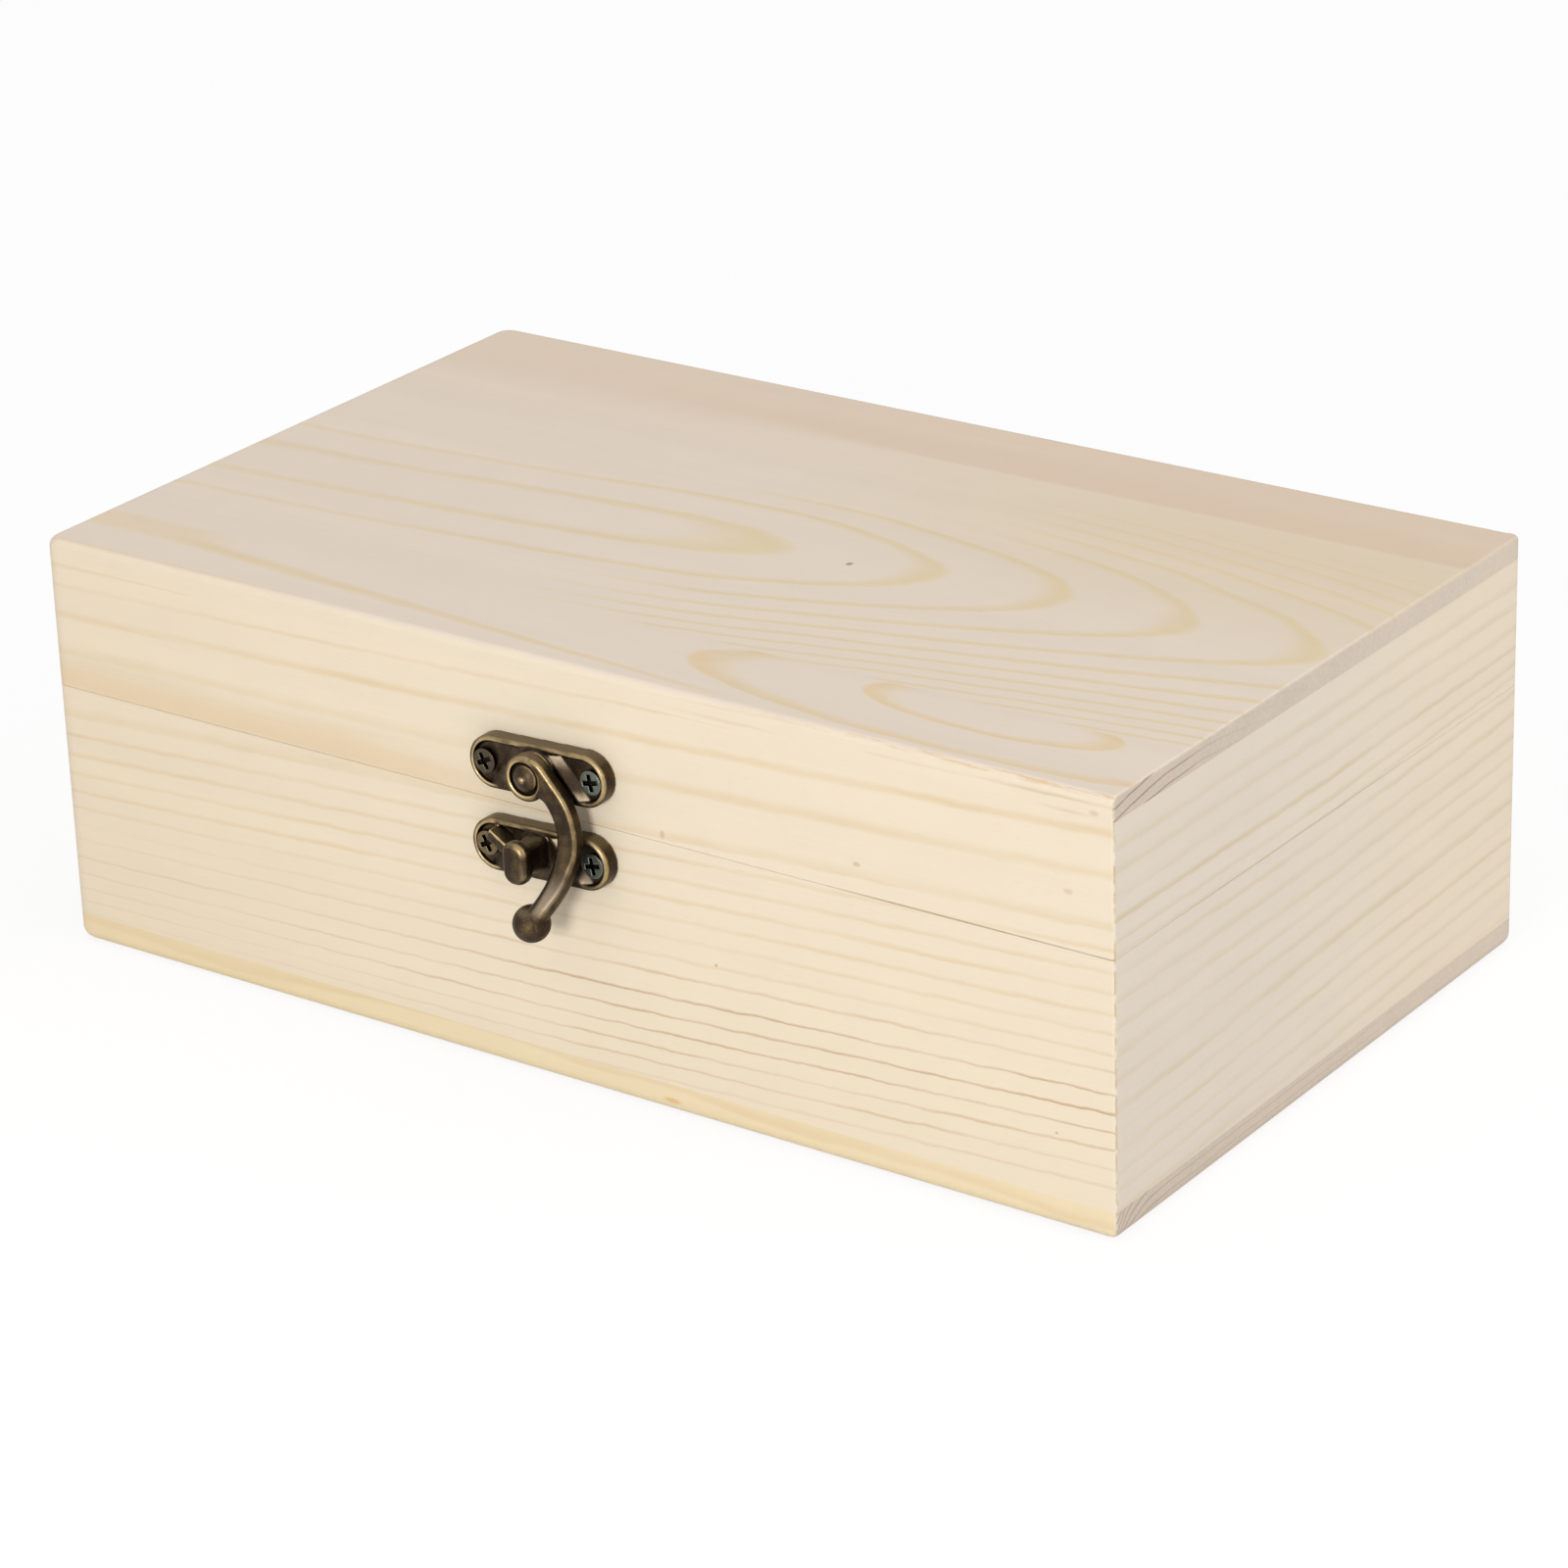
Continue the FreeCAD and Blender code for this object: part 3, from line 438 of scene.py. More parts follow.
def front_pine():
    """The front: fine reddish lines low down, ochre ones higher up and a tan band beside the latch."""
    finish = Finish("pine_front")
    x, height = finish.x, finish.z
    through_board = (finish.y + 60.0) * 0.5
    lines, redness = level_lines(finish, x, height + through_board, FRONT_RINGS,
                                 FRONT_LEFT_SLOPES, FRONT_RIGHT_SLOPES, 0.9)
    lines = lines * (1.0 - finish.soft_step(x, 15.0, -75.0) * finish.soft_step(height, 26.0, 20.0) * 0.62)
    redness = redness * (0.35 + finish.soft_step(x, -90.0, 30.0) * 0.65)
    uneven = (finish.noise(stretched(X_GRAIN, 0.03, 0.3), detail=2.0, seed=6.4) - 0.5) * 5.0
    band = (finish.soft_step(height, CUT_HEIGHT - 0.6, CUT_HEIGHT + 0.6)
            * finish.soft_step(height + uneven, 51.5, 47.0) * finish.soft_step(x, 14.0, -34.0))
    knots = (spot(finish, x, height, (56.2, 49.7), (0.9, 0.5)) * 0.7
             + spot(finish, x, height, (21.2, 46.3), (0.6, 0.9)) * 0.6
             + spot(finish, x, height, (92.4, 54.0), (1.1, 0.6)) * 0.4
             + spot(finish, x, height, (30.2, 27.1), (0.35, 0.35))
             + spot(finish, x, height, (90.0, 15.3), (0.3, 0.3)))
    # Painted shade: the front is darkened towards its left end.
    colour = finish.mix(WARM_WOOD, LEFT_PAINTED_SHADE, finish.soft_step(x, 0.0, -105.0))
    colour = finish.mix(colour, TAN_WOOD, band * 0.62)
    colour = finish.mix(colour, finish.mix(OCHRE_LINE, REDDISH_LINE, redness), lines * 0.9)
    colour = finish.mix(colour, KNOT_BROWN, knots * 0.6)
    # Painted shadow along the saw cut.
    colour = finish.mix(colour, SEAM_SHADE_BROWN, saw_cut_shade(finish, x, 56.0, 120.0) * 0.5)
    surface_of_pine(finish, colour, lines, X_GRAIN, 0.03)
    return finish.material


dress(front_pine(), "lid_front_wall", "base_front_wall")
print("front boards:", len(FRONT_RINGS), "ring heights")

# %% The right-hand boards
RIGHT_RINGS = [
    (-5.0, 0.0, 0.0), (3.0, 0.2, 0.2), (6.8, 0.45, 0.05), (10.5, 0.4, 0.3), (13.5, 0.3, 0.4), (17.0, 0.6, 0.25),
    (20.0, 0.2, 0.3), (23.3, 0.7, 0.05), (27.7, 0.45, 0.3), (31.0, 0.45, 0.25), (34.2, 0.55, 0.2),
    (38.2, 0.5, 0.25), (42.0, 0.55, 0.25), (44.9, 0.45, 0.5), (47.0, 0.5, 0.25), (50.4, 0.75, 0.5),
    (54.0, 0.45, 0.15), (58.0, 0.55, 0.05), (61.5, 0.45, 0.15), (66.0, 0.2, 0.1), (75.0, 0.0, 0.0)]
RIGHT_LEFT_SLOPES = [(0, 0.020), (17, 0.042), (27, 0.030), (34, 0.003), (42, -0.004),
                     (50, -0.012), (70, -0.008)]
RIGHT_RIGHT_SLOPES = [(0, 0.045), (20, 0.035), (36, 0.038), (48, 0.032), (54, 0.012), (70, 0.008)]


def right_pine():
    """The right side: thin broken olive lines, with rough pores and a ragged tan edge at the front."""
    finish = Finish("pine_right")
    y = finish.y
    through_board = (finish.x - 100.0) * -0.4
    lines, redness = level_lines(finish, y, finish.z + through_board, RIGHT_RINGS,
                                 RIGHT_LEFT_SLOPES, RIGHT_RIGHT_SLOPES, 1.0, 1.5)
    specks = finish.soft_step(finish.noise((1.6, 0.5, 3.4), detail=2.0, seed=15.0), 0.66, 0.78)
    specks = specks * finish.soft_step(y, 30.0, -45.0)
    ragged = finish.noise((1.2, 1.2, 0.5), detail=3.0, seed=2.0)
    corner = finish.soft_step(y + ragged * 0.5, -59.0, -59.5) * finish.soft_step(ragged, 0.38, 0.55)
    # Painted light: the side is made paler towards the back.
    colour = finish.mix(paint(239, 227, 210), paint(248, 232, 209), finish.soft_step(y, -30.0, 50.0))
    colour = finish.mix(colour, finish.mix(paint(226, 208, 170), REDDISH_LINE, redness * 0.3), lines * 0.75)
    colour = finish.mix(colour, paint(186, 168, 138), specks * 0.3)
    colour = finish.mix(colour, paint(204, 174, 124), corner * 0.75)
    # Painted shadow along the saw cut, fainter on this side.
    colour = finish.mix(colour, SEAM_SHADE_BROWN, saw_cut_shade(finish, y, -36.0, 22.0) * 0.15)
    surface_of_pine(finish, colour, lines, Y_GRAIN)
    return finish.material


dress(right_pine(), "lid_right_wall", "base_right_wall")
print("right-hand boards:", len(RIGHT_RINGS), "ring heights")

# %% [markdown]
# ## The boards at the back and on the left
# Nothing shows how these two are grained, so they are made like their neighbours. A short formula spaces
# the rings unevenly, and each board starts at its own place in it, so no two boards look alike.


# %% The back and left-hand boards
def uneven_rings(start, spacing):
    """Ring heights from below the box to above it, at uneven distances and strengths."""
    rings = [(start + spacing * i + 0.28 * spacing * math.sin(2.3 * i + start),
              0.45 + 0.25 * math.sin(1.7 * i + 2 * start),
              0.3 + 0.25 * math.sin(0.9 * i + start)) for i in range(26)]
    return [(height, strength, redness) for height, strength, redness in rings if height < 82]


def hidden_pine(name, along_x, start, spacing, slope):
    """A straight-grained board from the ring formula."""
    finish = Finish(name)
    along, depth = (finish.x, finish.y) if along_x else (finish.y, finish.x)
    slopes = [(0, slope), (70, 0.6 * slope)]
    lines, redness = level_lines(finish, along, finish.z + depth * 0.4, uneven_rings(start, spacing),
                                 slopes, slopes, 1.2)
    colour = finish.mix(PALE_WOOD, finish.mix(OCHRE_LINE, REDDISH_LINE, redness), lines)
    surface_of_pine(finish, colour, lines, X_GRAIN if along_x else Y_GRAIN)
    return finish.material


dress(hidden_pine("pine_back", True, -34.0, 4.4, 0.03), "lid_back_wall", "base_back_wall")
dress(hidden_pine("pine_left", False, -56.0, 4.9, -0.02), "lid_left_wall", "base_left_wall")
print("back and left-hand boards done")

# %% [markdown]
# ## The top panel
# The top is three strips glued edge to edge. The middle strip is cut flat near the heart of the tree, so
# its rings show as arches, one inside the other, that open to the left. The front strip has the ends of
# two ovals, and the back strip is plain darker wood. Arches are the level lines of a simple formula: the
# distance along the board plus the square of the distance from its middle line. The ends of the panel
# show the cut-off fibres as darker end grain.

# %% Arches, ovals and end grain
GLUE_LINE = 41.0
ARCH_WIDTH = 3.1
ARCH_STEP = 22.2
FIRST_ARCH = 9.0
ARCH_BEND = 9.0
END_GRAIN = paint(226, 210, 192)
END_RING = paint(160, 122, 98)


def arches(finish):
    """Ring numbers of the middle strip: whole numbers lie on arches that open to the left."""
    x, y = finish.x, finish.y
    slow = finish.noise(stretched(X_GRAIN, 0.02, 0.05), detail=2.0, seed=4.4) - 0.5
    quick = finish.noise(stretched(X_GRAIN, 0.12, 0.40), detail=3.0, roughness=0.6, seed=8.1) - 0.5
    axis = finish.soft_step(x, -120.0, 90.0) * 14.0 - 14.0
    swell = finish.maths("EXPONENT", (x - 4.0) * (1 / ARCH_BEND))
    along = finish.maths("LOGARITHM", swell + 1.0, math.e) * ARCH_BEND + 4.0
    off_axis = (y - axis + slow * 3.0 + quick * 0.8) / ARCH_WIDTH
    ring = (along + off_axis * off_axis + slow * 5.0 - FIRST_ARCH) / ARCH_STEP
    return ring, finish.maths("ABSOLUTE", off_axis)


def oval(finish, middle, half_length, half_height, wander):
    """How far out a point lies from the middle of an oval ring, as a share: 1 is on the ring."""
    u = (finish.x - middle[0]) / half_length
    v = (finish.y - middle[1] + wander) / half_height
    return finish.maths("SQRT", u * u + v * v)


def ring_edge(finish, share, thickness, edge):
    """Late wood that builds up towards a ring and stops sharply at it."""
    return finish.soft_step(share, 1.0 - thickness, 1.0) * finish.soft_step(share, 1.0 + edge, 1.0)


def end_grain(finish, colour, ring, strengths):
    """The sawn ends of a panel: greyer wood crossed by rings, strongest where strengths says."""
    wander = finish.noise((0.3, 0.2, 0.6), detail=3.0, seed=1.4) - 0.5
    rings = late_wood(finish, ring + wander * 0.35, 0.10, 0.18) * finish.through(finish.y, strengths)
    speckle = finish.noise((2.0, 2.0, 2.0), detail=3.0, seed=6.6)
    end = finish.mix(END_GRAIN, END_RING, rings * (0.4 + speckle))
    end = finish.shade(end, 0.84 + speckle * 0.2 + finish.soft_step(finish.y, -60.0, 60.0) * 0.1)
    amount = finish.soft_step(finish.maths("ABSOLUTE", finish.facing[0]), 0.55, 0.9)
    return finish.mix(colour, end, amount), rings * amount


# %% The top panel
TOP_LINE = paint(236, 215, 174)
TAN_LINE = paint(237, 213, 173)
BACK_STRIP = paint(233, 209, 184)
BACK_CORNER = paint(235, 216, 184)


def middle_strip(finish):
    """Arches that are thick and woolly at their tips and thin along their arms."""
    x, y = finish.x, finish.y
    ring, off_axis = arches(finish)
    thickness = finish.through(off_axis, [(0.0, 0.95), (1.0, 0.90), (2.0, 0.72), (3.5, 0.78), (7.0, 1.05)])
    thickness = thickness - finish.soft_step(x, 5.0, -25.0) * finish.soft_step(off_axis, 2.2, 1.6) * 0.35
    woolly = finish.noise(stretched(X_GRAIN, 0.25, 1.6), detail=4.0, roughness=0.65, seed=2.9)
    faded = ((1.0 - finish.soft_step(ring, 1.3, 1.6) * finish.soft_step(x, 10.0, -22.0) * 0.85)
             * (1.0 - finish.soft_step(ring, 2.3, 2.7) * finish.soft_step(x, 48.0, 22.0)
                * finish.soft_step(y, 4.0, 12.0) * 0.9)
             * finish.soft_step(y, 38.0, 30.0)
             * (1.0 - finish.soft_step(x, 0.0, -80.0) * 0.35))
    return late_wood(finish, ring, 0.30, 0.14, thickness) * (0.45 + woolly * 0.8) * faded


def front_strip(finish):
    """The left ends of two ovals, two long lines beside the edge and a short tan patch."""
    x, y = finish.x, finish.y
    wander = (finish.noise(stretched(X_GRAIN, 0.08, 0.2), detail=3.0, seed=5.2) - 0.5) * 1.6
    patchy = finish.noise(stretched(X_GRAIN, 0.1, 0.8), detail=3.0, seed=2.1)
    ovals = (ring_edge(finish, oval(finish, (69.5, -44.0), 21.5, 6.0, wander), 0.30, 0.06)
             + ring_edge(finish, oval(finish, (69.0, -47.0), 50.0, 10.8, wander), 0.20, 0.04))
    long_line = finish.maths("ABSOLUTE", y + 55.4 + x * 0.075 + wander * 0.5)
    outer_line = finish.maths("ABSOLUTE", y + 59.0 + wander * 0.4)
    long_width = 1.0 + finish.soft_step(x, 10.0, -60.0) * 1.2
    streaks = (finish.soft_step(long_line / long_width, 1.0, 0.1) * finish.soft_step(x, 45.0, 10.0)
               * finish.soft_step(x, -84.0, -70.0)
               + finish.soft_step(outer_line, 0.7, 0.1) * finish.soft_step(x, -30.0, -70.0) * 0.75)
    patch = (finish.soft_step(x, -66.0, -82.0) * finish.soft_step(y + wander, -52.0, -49.5)
             * finish.soft_step(y + wander, -43.6, -45.8))
    lines = finish.maths("MINIMUM", ovals + streaks * 0.75, 1.0) * (0.45 + patchy * 0.9)
    return lines + patch * 0.5


def top_pine():
    """The top panel: arches, ovals, a darker back strip, lines and wear along its edges and end grain."""
    finish = Finish("pine_top")
    x, y = finish.x, finish.y
    blurred = finish.soft_step(x, 10.0, -80.0) * 8.0
    in_back = finish.soft_step(y, GLUE_LINE - 0.5 - blurred, GLUE_LINE + 0.9 + blurred)
    in_front = finish.soft_step(y, -GLUE_LINE + 0.2, -GLUE_LINE - 0.2)
    on_edge = finish.soft_step(finish.maths("ABSOLUTE", finish.facing[1]), 0.55, 0.9)
    quick = finish.noise(stretched(X_GRAIN, 0.15, 0.5), detail=3.0, seed=7.0) - 0.5
    patchy = finish.soft_step(finish.noise(stretched(X_GRAIN, 0.05, 0.8), detail=2.0, seed=13.0), 0.45, 0.75)
    edge_lines = (late_wood(finish, (finish.z - x * 0.02 + quick * 0.8) / 1.9, 0.2, 0.3)
                  * finish.soft_step(x, -40.0, 90.0) * patchy * on_edge)
    on_face = 1.0 - on_edge
    arched = middle_strip(finish) * (1.0 - in_back) * (1.0 - in_front) * on_face
    curled = front_strip(finish) * in_front * on_face
    towards_right = finish.soft_step(x, -110.0, 90.0)
    back_tone = in_back * (0.55 + towards_right * 0.45) * (0.75 + finish.soft_step(y, 54.0, 46.0) * 0.25)
    left_tone = finish.soft_step(x, 50.0, -60.0) * finish.soft_step(y, 15.0, 42.0) * 0.25 * (1.0 - in_back)
    corner_tone = finish.soft_step(x, -30.0, 70.0) * finish.soft_step(y, -15.0, 35.0) * (1.0 - in_back)
    knots = spot(finish, x, y, (17.5, -4.6), (0.75, 0.9)) * on_face
    edge_knot = spot(finish, x, finish.z, (96.8, 67.0), (1.1, 0.6)) * on_edge
    flakes = finish.noise((0.22, 2.4, 2.4), detail=4.0, roughness=0.65, seed=17.0)
    worn_edge = (finish.soft_step(finish.facing[1], -0.25, -0.5)
                 * finish.soft_step(finish.facing[1], -0.97, -0.8)
                 * finish.soft_step(x, 30.0, 80.0) * finish.soft_step(flakes, 0.46, 0.62))
    colour = finish.mix(PALE_WOOD, BACK_STRIP, back_tone + left_tone)
    colour = finish.mix(colour, BACK_CORNER, corner_tone * 0.65)
    # Painted shade: the front and back edges of the top are darkened towards the left end too.
    colour = finish.mix(colour, finish.mix(WARM_WOOD, LEFT_PAINTED_SHADE, finish.soft_step(x, 0.0, -105.0)), on_edge)
    colour = finish.mix(colour, TOP_LINE, arched)
    colour = finish.mix(colour, TAN_LINE, curled)
    colour = finish.mix(colour, REDDISH_LINE, edge_lines * 0.4)
    colour = finish.mix(colour, paint(140, 116, 98), knots * 0.7)
    colour = finish.mix(colour, KNOT_BROWN, edge_knot * 0.25)
    colour = finish.mix(colour, paint(226, 184, 132), worn_edge * 0.6)
    from_heart = finish.maths("SQRT", (y + 38.0) * (y + 38.0) + (finish.z + 31.0) * (finish.z + 31.0))
    strengths = [(-60, 0.85), (-44, 0.75), (-36, 0.3), (-20, 0.1), (10, 0.04), (60, 0.0)]
    colour, rings = end_grain(finish, colour, from_heart / 1.75, strengths)
    surface_of_pine(finish, colour, arched + curled + edge_lines + rings * 0.5, X_GRAIN, 0.03)
    return finish.material


# %% The bottom panel
def bottom_pine():
    """The bottom panel: yellower wood along its edges, lines along it and darker ends."""
    finish = Finish("pine_bottom")
    wander = finish.noise(stretched(X_GRAIN, 0.02, 0.06), detail=2.0, seed=6.1) - 0.5
    number = (finish.y + wander * 8.0 + finish.z * 0.9) / 6.3
    patchy = finish.noise(stretched(X_GRAIN, 0.03, 0.3), detail=2.0, seed=1.8)
    lines = late_wood(finish, number, 0.12, 0.30) * (0.2 + patchy * 0.6)
    yellow = finish.soft_step(finish.facing[1], -0.4, -0.9)
    colour = finish.mix(PALE_WOOD, paint(244, 226, 188), yellow * (0.6 + patchy * 0.6))
    colour = finish.mix(colour, paint(240, 220, 178), yellow * finish.soft_step(finish.x, 20.0, -100.0) * 0.7)
    colour = finish.mix(colour, OCHRE_LINE, lines)
    mark = spot(finish, finish.x, finish.z, (21.0, 2.2), (2.2, 0.6)) * yellow
    colour = finish.mix(colour, paint(230, 186, 118), mark * 0.7)
    bend = finish.through(finish.y, [(-60, -4.5), (-54, 1.0), (-48, 2.2), (0, 2.5), (60, 3.0)])
    strengths = [(-60, 0.9), (-50, 0.6), (-40, 0.3), (5, 0.25), (20, 0.1), (60, 0.05)]
    colour, rings = end_grain(finish, colour, (finish.z - bend) / 1.5, strengths)
    surface_of_pine(finish, colour, lines + rings * 0.5, X_GRAIN)
    return finish.material


dress(top_pine(), "top_panel")
dress(bottom_pine(), "bottom_panel")
print("top and bottom panels done")

# %% [markdown]
# ## The cast latch
# The latch plate, the hook and the catch are small die castings, so no edge on them is sharp. A bevel on
# every edge would need care at each corner. Instead each casting is filled with tiny voxels and its new
# skin is smoothed, which softens all edges alike, as tumbling does. The skin also says how strongly it
# bends at each point, and that becomes the wear: high edges are rubbed bright and the hollows keep their
# dark patina. The catch plate also has a short rib that braces its post, which is set in before the skin
# is made.


# %% Soft-edged castings
def bend_of_skin(mesh, rounds):
    """How much the skin bends at each point: above 0 on edges that stand out, below 0 in hollows."""
    count = len(mesh.vertices)
    places = np.empty(count * 3, np.float32)
    mesh.vertices.foreach_get("co", places)
    places = places.reshape(-1, 3).astype(float)
    normals = np.empty(count * 3, np.float32)
    mesh.vertex_normals.foreach_get("vector", normals)
    normals = normals.reshape(-1, 3)
    ends = np.empty(len(mesh.edges) * 2, np.int32)
    mesh.edges.foreach_get("vertices", ends)
    first, second = ends.reshape(-1, 2).T
    neighbours = np.bincount(first, minlength=count) + np.bincount(second, minlength=count)

    def neighbour_mean(values):
        total = np.zeros_like(values)
        np.add.at(total, first, values[second])
        np.add.at(total, second, values[first])
        return total / neighbours.reshape(-1, *[1] * (values.ndim - 1))

    bend = ((places - neighbour_mean(places)) * normals).sum(axis=1)
    for _ in range(rounds):
        bend = 0.5 * bend + 0.5 * neighbour_mean(bend)
    return bend


def set_in_rib(mesh, low, high):
    """Adds a short rib to the catch plate, in millimetres across, up and out from the plate's middle."""
    plate_low, plate_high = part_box("catch_plate")
    middle = (plate_low + plate_high) / 2
    turn = Matrix.Rotation(-PLATE_TILT, 3, "Y")
    along = (Vector(high[:2]) - Vector(low[:2])).normalized()
    beside = Vector((-along.y, along.x)) * RIB_WIDTH / 2
    shape = bmesh.new()
    shape.from_mesh(mesh)
    corners = []
    for across, up, out in (low, high):
        for side in (-1, 1):
            for depth, narrow in ((RIB_FOOT, 1.3), (out, 1.0)):
                offset = Vector((across + side * narrow * beside.x, 0.0, up + side * narrow * beside.y))
                place = turn @ offset * MM + Vector((middle.x, plate_high.y - depth * MM, middle.z))
                corners.append(shape.verts.new(place))
    bmesh.ops.convex_hull(shape, input=corners)
    shape.to_mesh(mesh)
    shape.free()


def cast_piece(node, body, voxel, softening, full_bend):
    """A soft-edged copy of a sized part, which then stands for it."""
    casting = bpy.data.objects.new(node + "_casting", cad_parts[node].data.copy())
    scene.collection.objects.link(casting)
    if node == "catch_plate":
        set_in_rib(casting.data, RIB_LOW, RIB_HIGH)
    skin = casting.modifiers.new("voxel_skin", "REMESH")
    skin.mode = "VOXEL"
    skin.voxel_size = voxel
    soften = casting.modifiers.new("tumbled_edges", "SMOOTH")
    soften.factor = 0.5
    soften.iterations = softening
    settled = casting.evaluated_get(bpy.context.evaluated_depsgraph_get())
    mesh = bpy.data.meshes.new_from_object(settled)
    casting.modifiers.clear()
    casting.data = mesh
    mesh.name = casting.name
    mesh.polygons.foreach_set("use_smooth", np.ones(len(mesh.polygons), bool))
    bend = bend_of_skin(mesh, 4) / full_bend
    for name, values in (("worn", np.clip(bend, 0, 1)), ("grimy", np.clip(-bend, 0, 1))):
        mesh.attributes.new(name, "FLOAT", "POINT").data.foreach_set("value", values.astype(np.float32))
    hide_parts(node)
    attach(casting, body)
    print(casting.name, len(mesh.polygons), "faces")
    return casting


VOXEL = 0.16 * MM
PLATE_TILT = math.radians(2.2)
RIB_LOW, RIB_HIGH = (-8.3, 2.6, 4.6), (-4.2, 0.3, 5.0)
RIB_WIDTH, RIB_FOOT = 1.7, 1.6
CASTINGS = {"latch_plate": "lid", "latch_rivet": "lid", "latch_hook": "hook", "catch_plate": "base"}
castings = [cast_piece(node, body, VOXEL, 4, 0.012 * MM) for node, body in CASTINGS.items()]

# %% [markdown]
# ## Antique brass
# The castings are plated with brass, darkened with a brown patina and rubbed back, so flats are dark and
# uneven, raised edges shine and hollows are nearly black. The bend that each casting stores drives this,
# and noise breaks it up so that no edge is evenly bright. Edges that face the front, the right and above
# also get a painted highlight, so they are brighter than the others, and the walls that face up are
# paler. The slopes beside the raised middle of each plate get a painted glint at their ends and painted
# shade along their middles, and the hook's horn gets a painted glint along its ridge.

# %% Antique brass
DARK_PATINA = paint(60, 49, 39)
BROWN_BRASS = paint(94, 78, 55)
RUBBED_BRASS = paint(204, 177, 128)
# Nearly black: the castings' patina in their hollows, and painted shade in screw crosses and along the middles
# of the lamp-facing slopes.
HOLLOW_PATINA_AND_SHADE = paint(24, 19, 15)
PALE_TOPS_AND_DUST = paint(142, 128, 102)
# The colour of the painted glint.
GLINT_BRASS = paint(165, 148, 126)
# Painted highlight: edges that face this way are painted brighter.
HIGHLIGHT_FROM = (0.62, -0.62, 0.48)
# Painted glint: faces that turn this way, towards the front lamp, are painted pale.
GLINT_FACING = (0.43, -0.83, 0.36)
PLATES_END, HOOK_STARTS = -63.0, -63.6


def antique_brass():
    """Dark patina, with brass rubbed bright where the casting stands out, and with painted highlights, glints
    and shade.
    """
    finish = Finish("antique_brass_worn_and_glinting")
    worn = finish.node("ShaderNodeAttribute", {}, output="Fac", attribute_name="worn")
    grimy = finish.node("ShaderNodeAttribute", {}, output="Fac", attribute_name="grimy")
    clouds = finish.noise((0.45, 0.45, 0.45), detail=3.0, seed=1.1)
    grain = finish.noise((5.0, 5.0, 5.0), detail=3.0, seed=4.2)
    # Real wear from the bend of the skin, made brighter by a painted highlight on edges that face the front,
    # the right and above.
    toward_highlight = sum(part * share for part, share in zip(finish.facing, HIGHLIGHT_FROM))
    highlight_side = 0.12 + finish.soft_step(toward_highlight, 0.1, 0.95) * 0.95
    rubbed = finish.soft_step(worn * highlight_side * (0.6 + clouds * 0.8) + (grain - 0.5) * 0.15, 0.2, 1.05)
    to_lamp = sum(part * share for part, share in zip(finish.facing, GLINT_FACING))
    horn_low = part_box("latch_hook")[0].z / MM
    middles = [(low.z + high.z) / 2 / MM for low, high in (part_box("latch_plate"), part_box("catch_plate"))]
    on_ball = finish.soft_step(finish.z, horn_low + 6.5, horn_low + 4.5)
    on_horn = (1.0 - on_ball) * finish.soft_step(finish.z, horn_low + 13.0, horn_low + 8.0)
    from_middles = [finish.maths("ABSOLUTE", finish.z - middle) for middle in middles]
    from_middle = finish.maths("MINIMUM", *from_middles)
    # Painted glint on the plates' slopes that face the front lamp, at their ends, and along the horn's ridge.
    facet = finish.soft_step(to_lamp, 0.95, 0.995) * finish.soft_step(finish.y, HOOK_STARTS, PLATES_END)
    facet_end = finish.soft_step(from_middle + (clouds - 0.5) * 2.0, 1.0, 3.4)
    painted_glint = finish.maths("MAXIMUM", facet * facet_end * 0.7,
                            finish.soft_step(to_lamp, 0.80, 0.97) * on_horn * 0.5)
    painted_glint = painted_glint * (0.6 + grain * 0.7)
    # Paler on the walls that face up, with small pale specks of dust.
    pale_tops = finish.soft_step(finish.facing[2], 0.55, 0.95) * (0.25 + grain * 0.5)
    specks = finish.soft_step(finish.noise((4.0, 4.0, 4.0), detail=1.0, seed=11.0), 0.70, 0.76) * 0.5
    colour = finish.mix(DARK_PATINA, BROWN_BRASS, finish.soft_step(clouds + (grain - 0.5) * 0.6, 0.40, 0.80))
    colour = finish.mix(colour, PALE_TOPS_AND_DUST, finish.maths("MAXIMUM", pale_tops, specks))
    colour = finish.mix(colour, RUBBED_BRASS, rubbed)
    colour = finish.mix(colour, GLINT_BRASS, painted_glint)
    # Nearly black patina in the hollows, and painted shade along the middle of each slope that faces the front
    # lamp.
    patina_and_shade = finish.maths("MAXIMUM", finish.soft_step(grimy, 0.1, 0.9) * 0.85,
                          facet * (1.0 - facet_end) * 0.7)
    colour = finish.mix(colour, HOLLOW_PATINA_AND_SHADE, patina_and_shade)
    finish.feed(finish.shader.inputs["Base Color"], colour)
    finish.shader.inputs["Metallic"].default_value = 1.0
    rough = 0.42 + (grain - 0.5) * 0.25 - rubbed * 0.08 + on_ball * 0.14
    finish.feed(finish.shader.inputs["Roughness"], rough)
    finish.feed(finish.shader.inputs["Normal"],
                finish.node("ShaderNodeBump", {"Height": grain + clouds * 0.5, "Strength": 0.35,
                                               "Distance": 0.05 * MM}))
    return finish.material


dress(antique_brass(), *[casting.name for casting in castings])
print("castings plated")
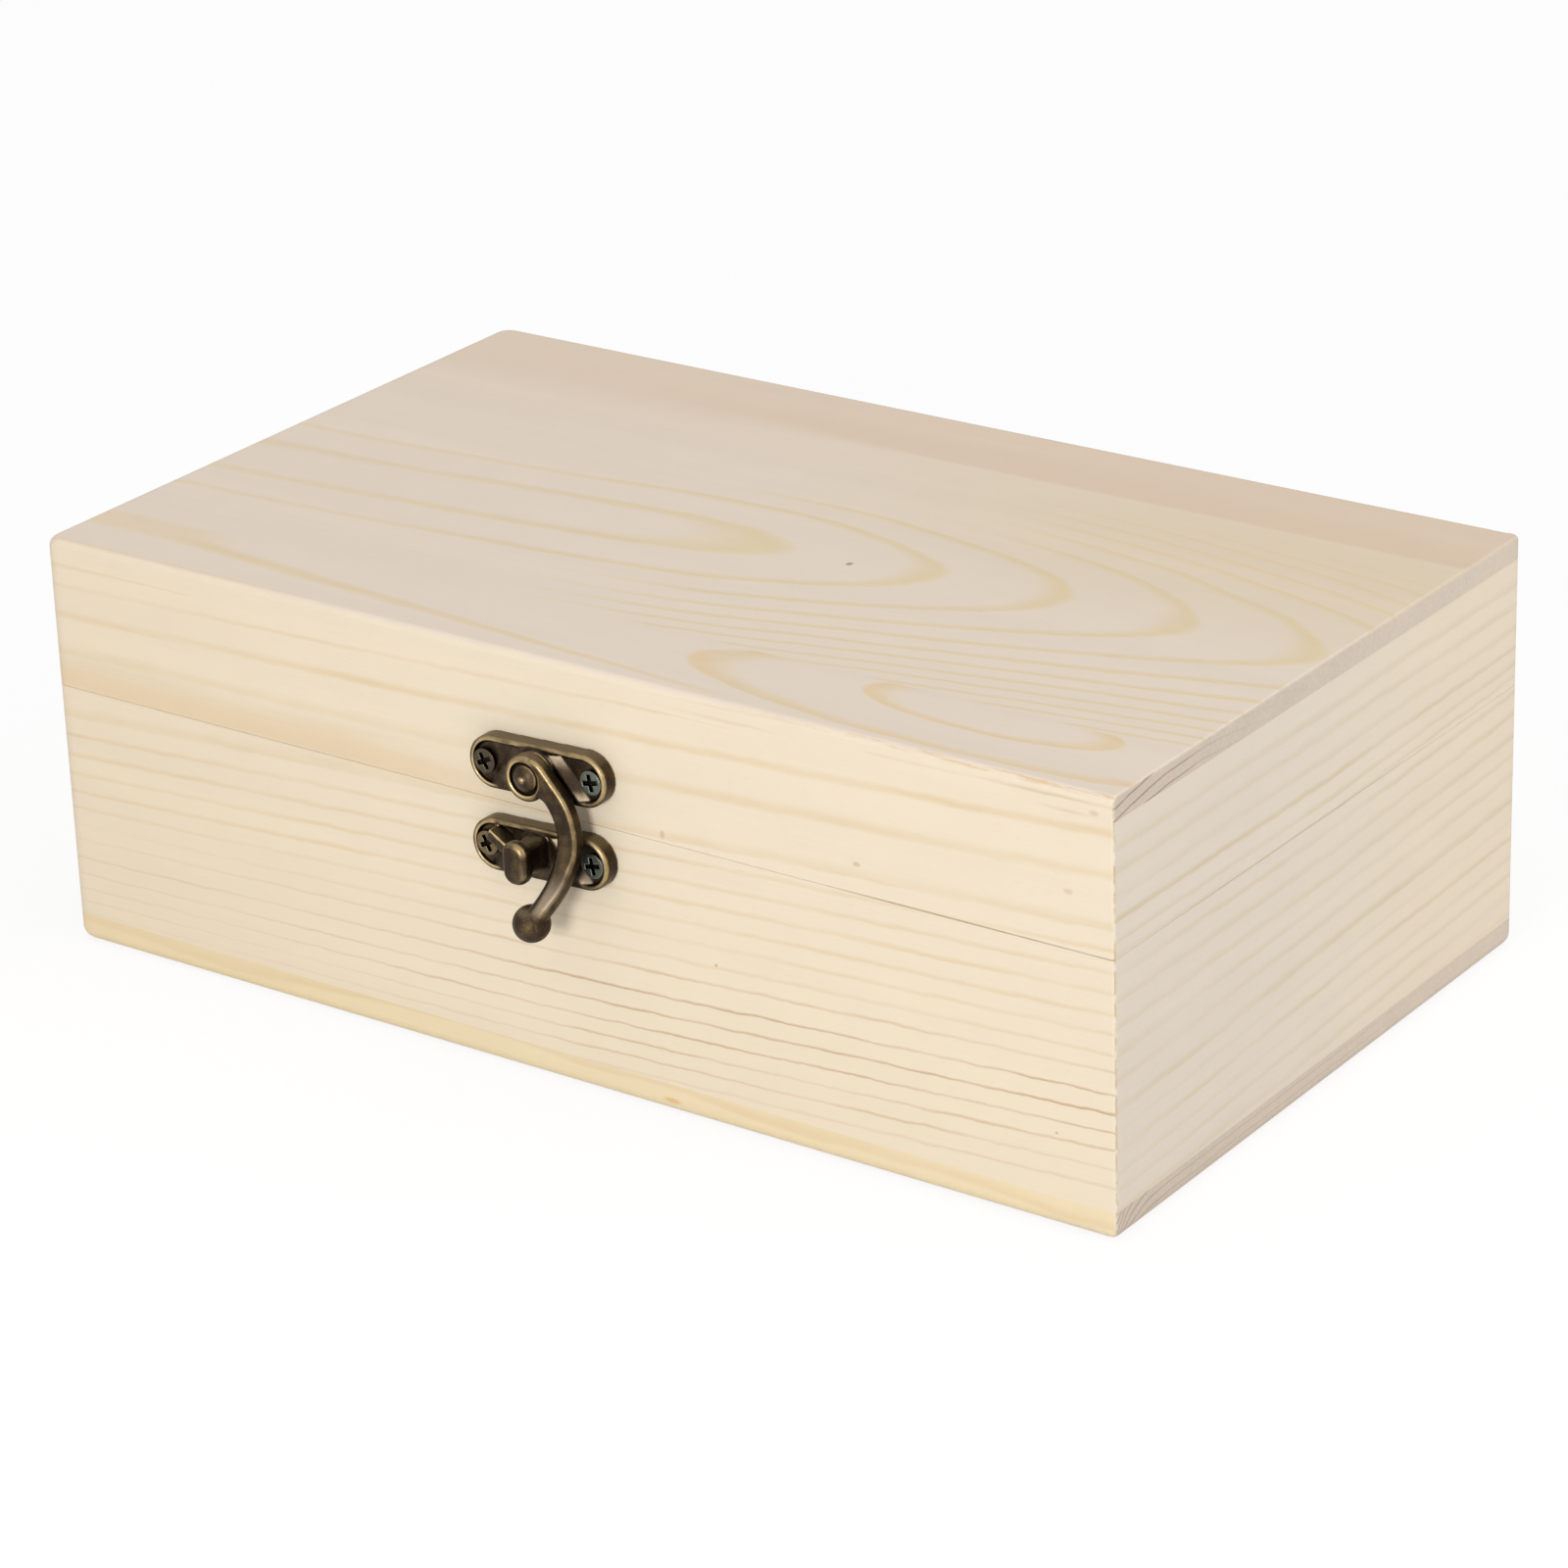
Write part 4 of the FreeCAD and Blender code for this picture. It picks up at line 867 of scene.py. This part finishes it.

# %% [markdown]
# ## Screws and hinges
# Screws and hinge leaves are turned and pressed, so their sized shapes stay as they are. Their finish
# finds the edges with a Bevel node: it looks a fraction of a millimetre around a point, and where that
# softened direction differs from the true one there is an edge to rub bright. The cross in a screw head
# lies below its face, so everything deeper than the face gets painted shade.


# %% Turned and pressed metal
def pressed_metal(name, dark, bright, rough, face_height=None):
    """Plated metal whose edges are rubbed bright, with painted shade below the height of a screw's face."""
    finish = Finish(name)
    rounded = finish.node("ShaderNodeBevel", {"Radius": 0.25 * MM}, samples=6)
    true_normal = finish.tree.nodes.new("ShaderNodeNewGeometry").outputs["Normal"]
    alike = finish.node("ShaderNodeVectorMath", {0: rounded, 1: true_normal}, output="Value",
                        operation="DOT_PRODUCT")
    clouds = finish.noise((0.35, 0.35, 0.35), detail=4.0, roughness=0.6, seed=2.7)
    grain = finish.noise((6.0, 6.0, 6.0), detail=2.0, seed=8.8)
    rubbed = finish.soft_step(alike, 0.985, 0.80) * (0.3 + clouds * 0.6)
    colour = finish.mix(dark, bright, finish.soft_step(clouds, 0.30, 0.90) * 0.2)
    colour = finish.mix(colour, bright, rubbed)
    if face_height:
        # Painted shade in the screw's cross, below its face.
        from_middle = finish.maths("ABSOLUTE", finish.y)
        slot_shade = finish.soft_step(from_middle, face_height - 0.04, face_height - 0.25)
        colour = finish.mix(colour, HOLLOW_PATINA_AND_SHADE, slot_shade * 0.92)
    finish.feed(finish.shader.inputs["Base Color"], colour)
    finish.shader.inputs["Metallic"].default_value = 1.0
    finish.feed(finish.shader.inputs["Roughness"], rough + (grain - 0.5) * 0.2)
    finish.feed(finish.shader.inputs["Normal"],
                finish.node("ShaderNodeBump", {"Height": grain, "Strength": 0.25, "Distance": 0.03 * MM,
                                               "Normal": rounded}))
    return finish.material


plate_face = -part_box("latch_plate_screw_left")[0].y / MM
hinge_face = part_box("left_hinge_base_screws")[1].y / MM
print("screw faces at", round(plate_face, 2), "and", round(hinge_face, 2), "mm from the middle")
hinge_brass = pressed_metal("hinge_brass", paint(84, 70, 48), RUBBED_BRASS, 0.42)
hinge_screw = pressed_metal("hinge_screw", paint(88, 74, 54), paint(196, 172, 124), 0.38, hinge_face)
grey_screw = pressed_metal("grey_screw", paint(100, 104, 95), paint(176, 178, 166), 0.36, plate_face)
brown_screw = pressed_metal("brown_screw", paint(78, 68, 56), paint(150, 136, 108), 0.40, plate_face)
brass_screw = pressed_metal("brass_screw", paint(112, 96, 70), paint(178, 156, 116), 0.40, plate_face)
dress(brown_screw, "latch_plate_screw_left")
dress(brass_screw, "catch_plate_screw_left")
dress(grey_screw, "latch_plate_screw_right", "catch_plate_screw_right")
for side in ("left", "right"):
    dress(hinge_brass, *[f"{side}_hinge_{part}" for part in ("base_leaf", "lid_leaf", "pin")])
    dress(hinge_screw, *[f"{side}_hinge_{part}" for part in ("base_screws", "lid_screws")])
print("screws and hinges plated")
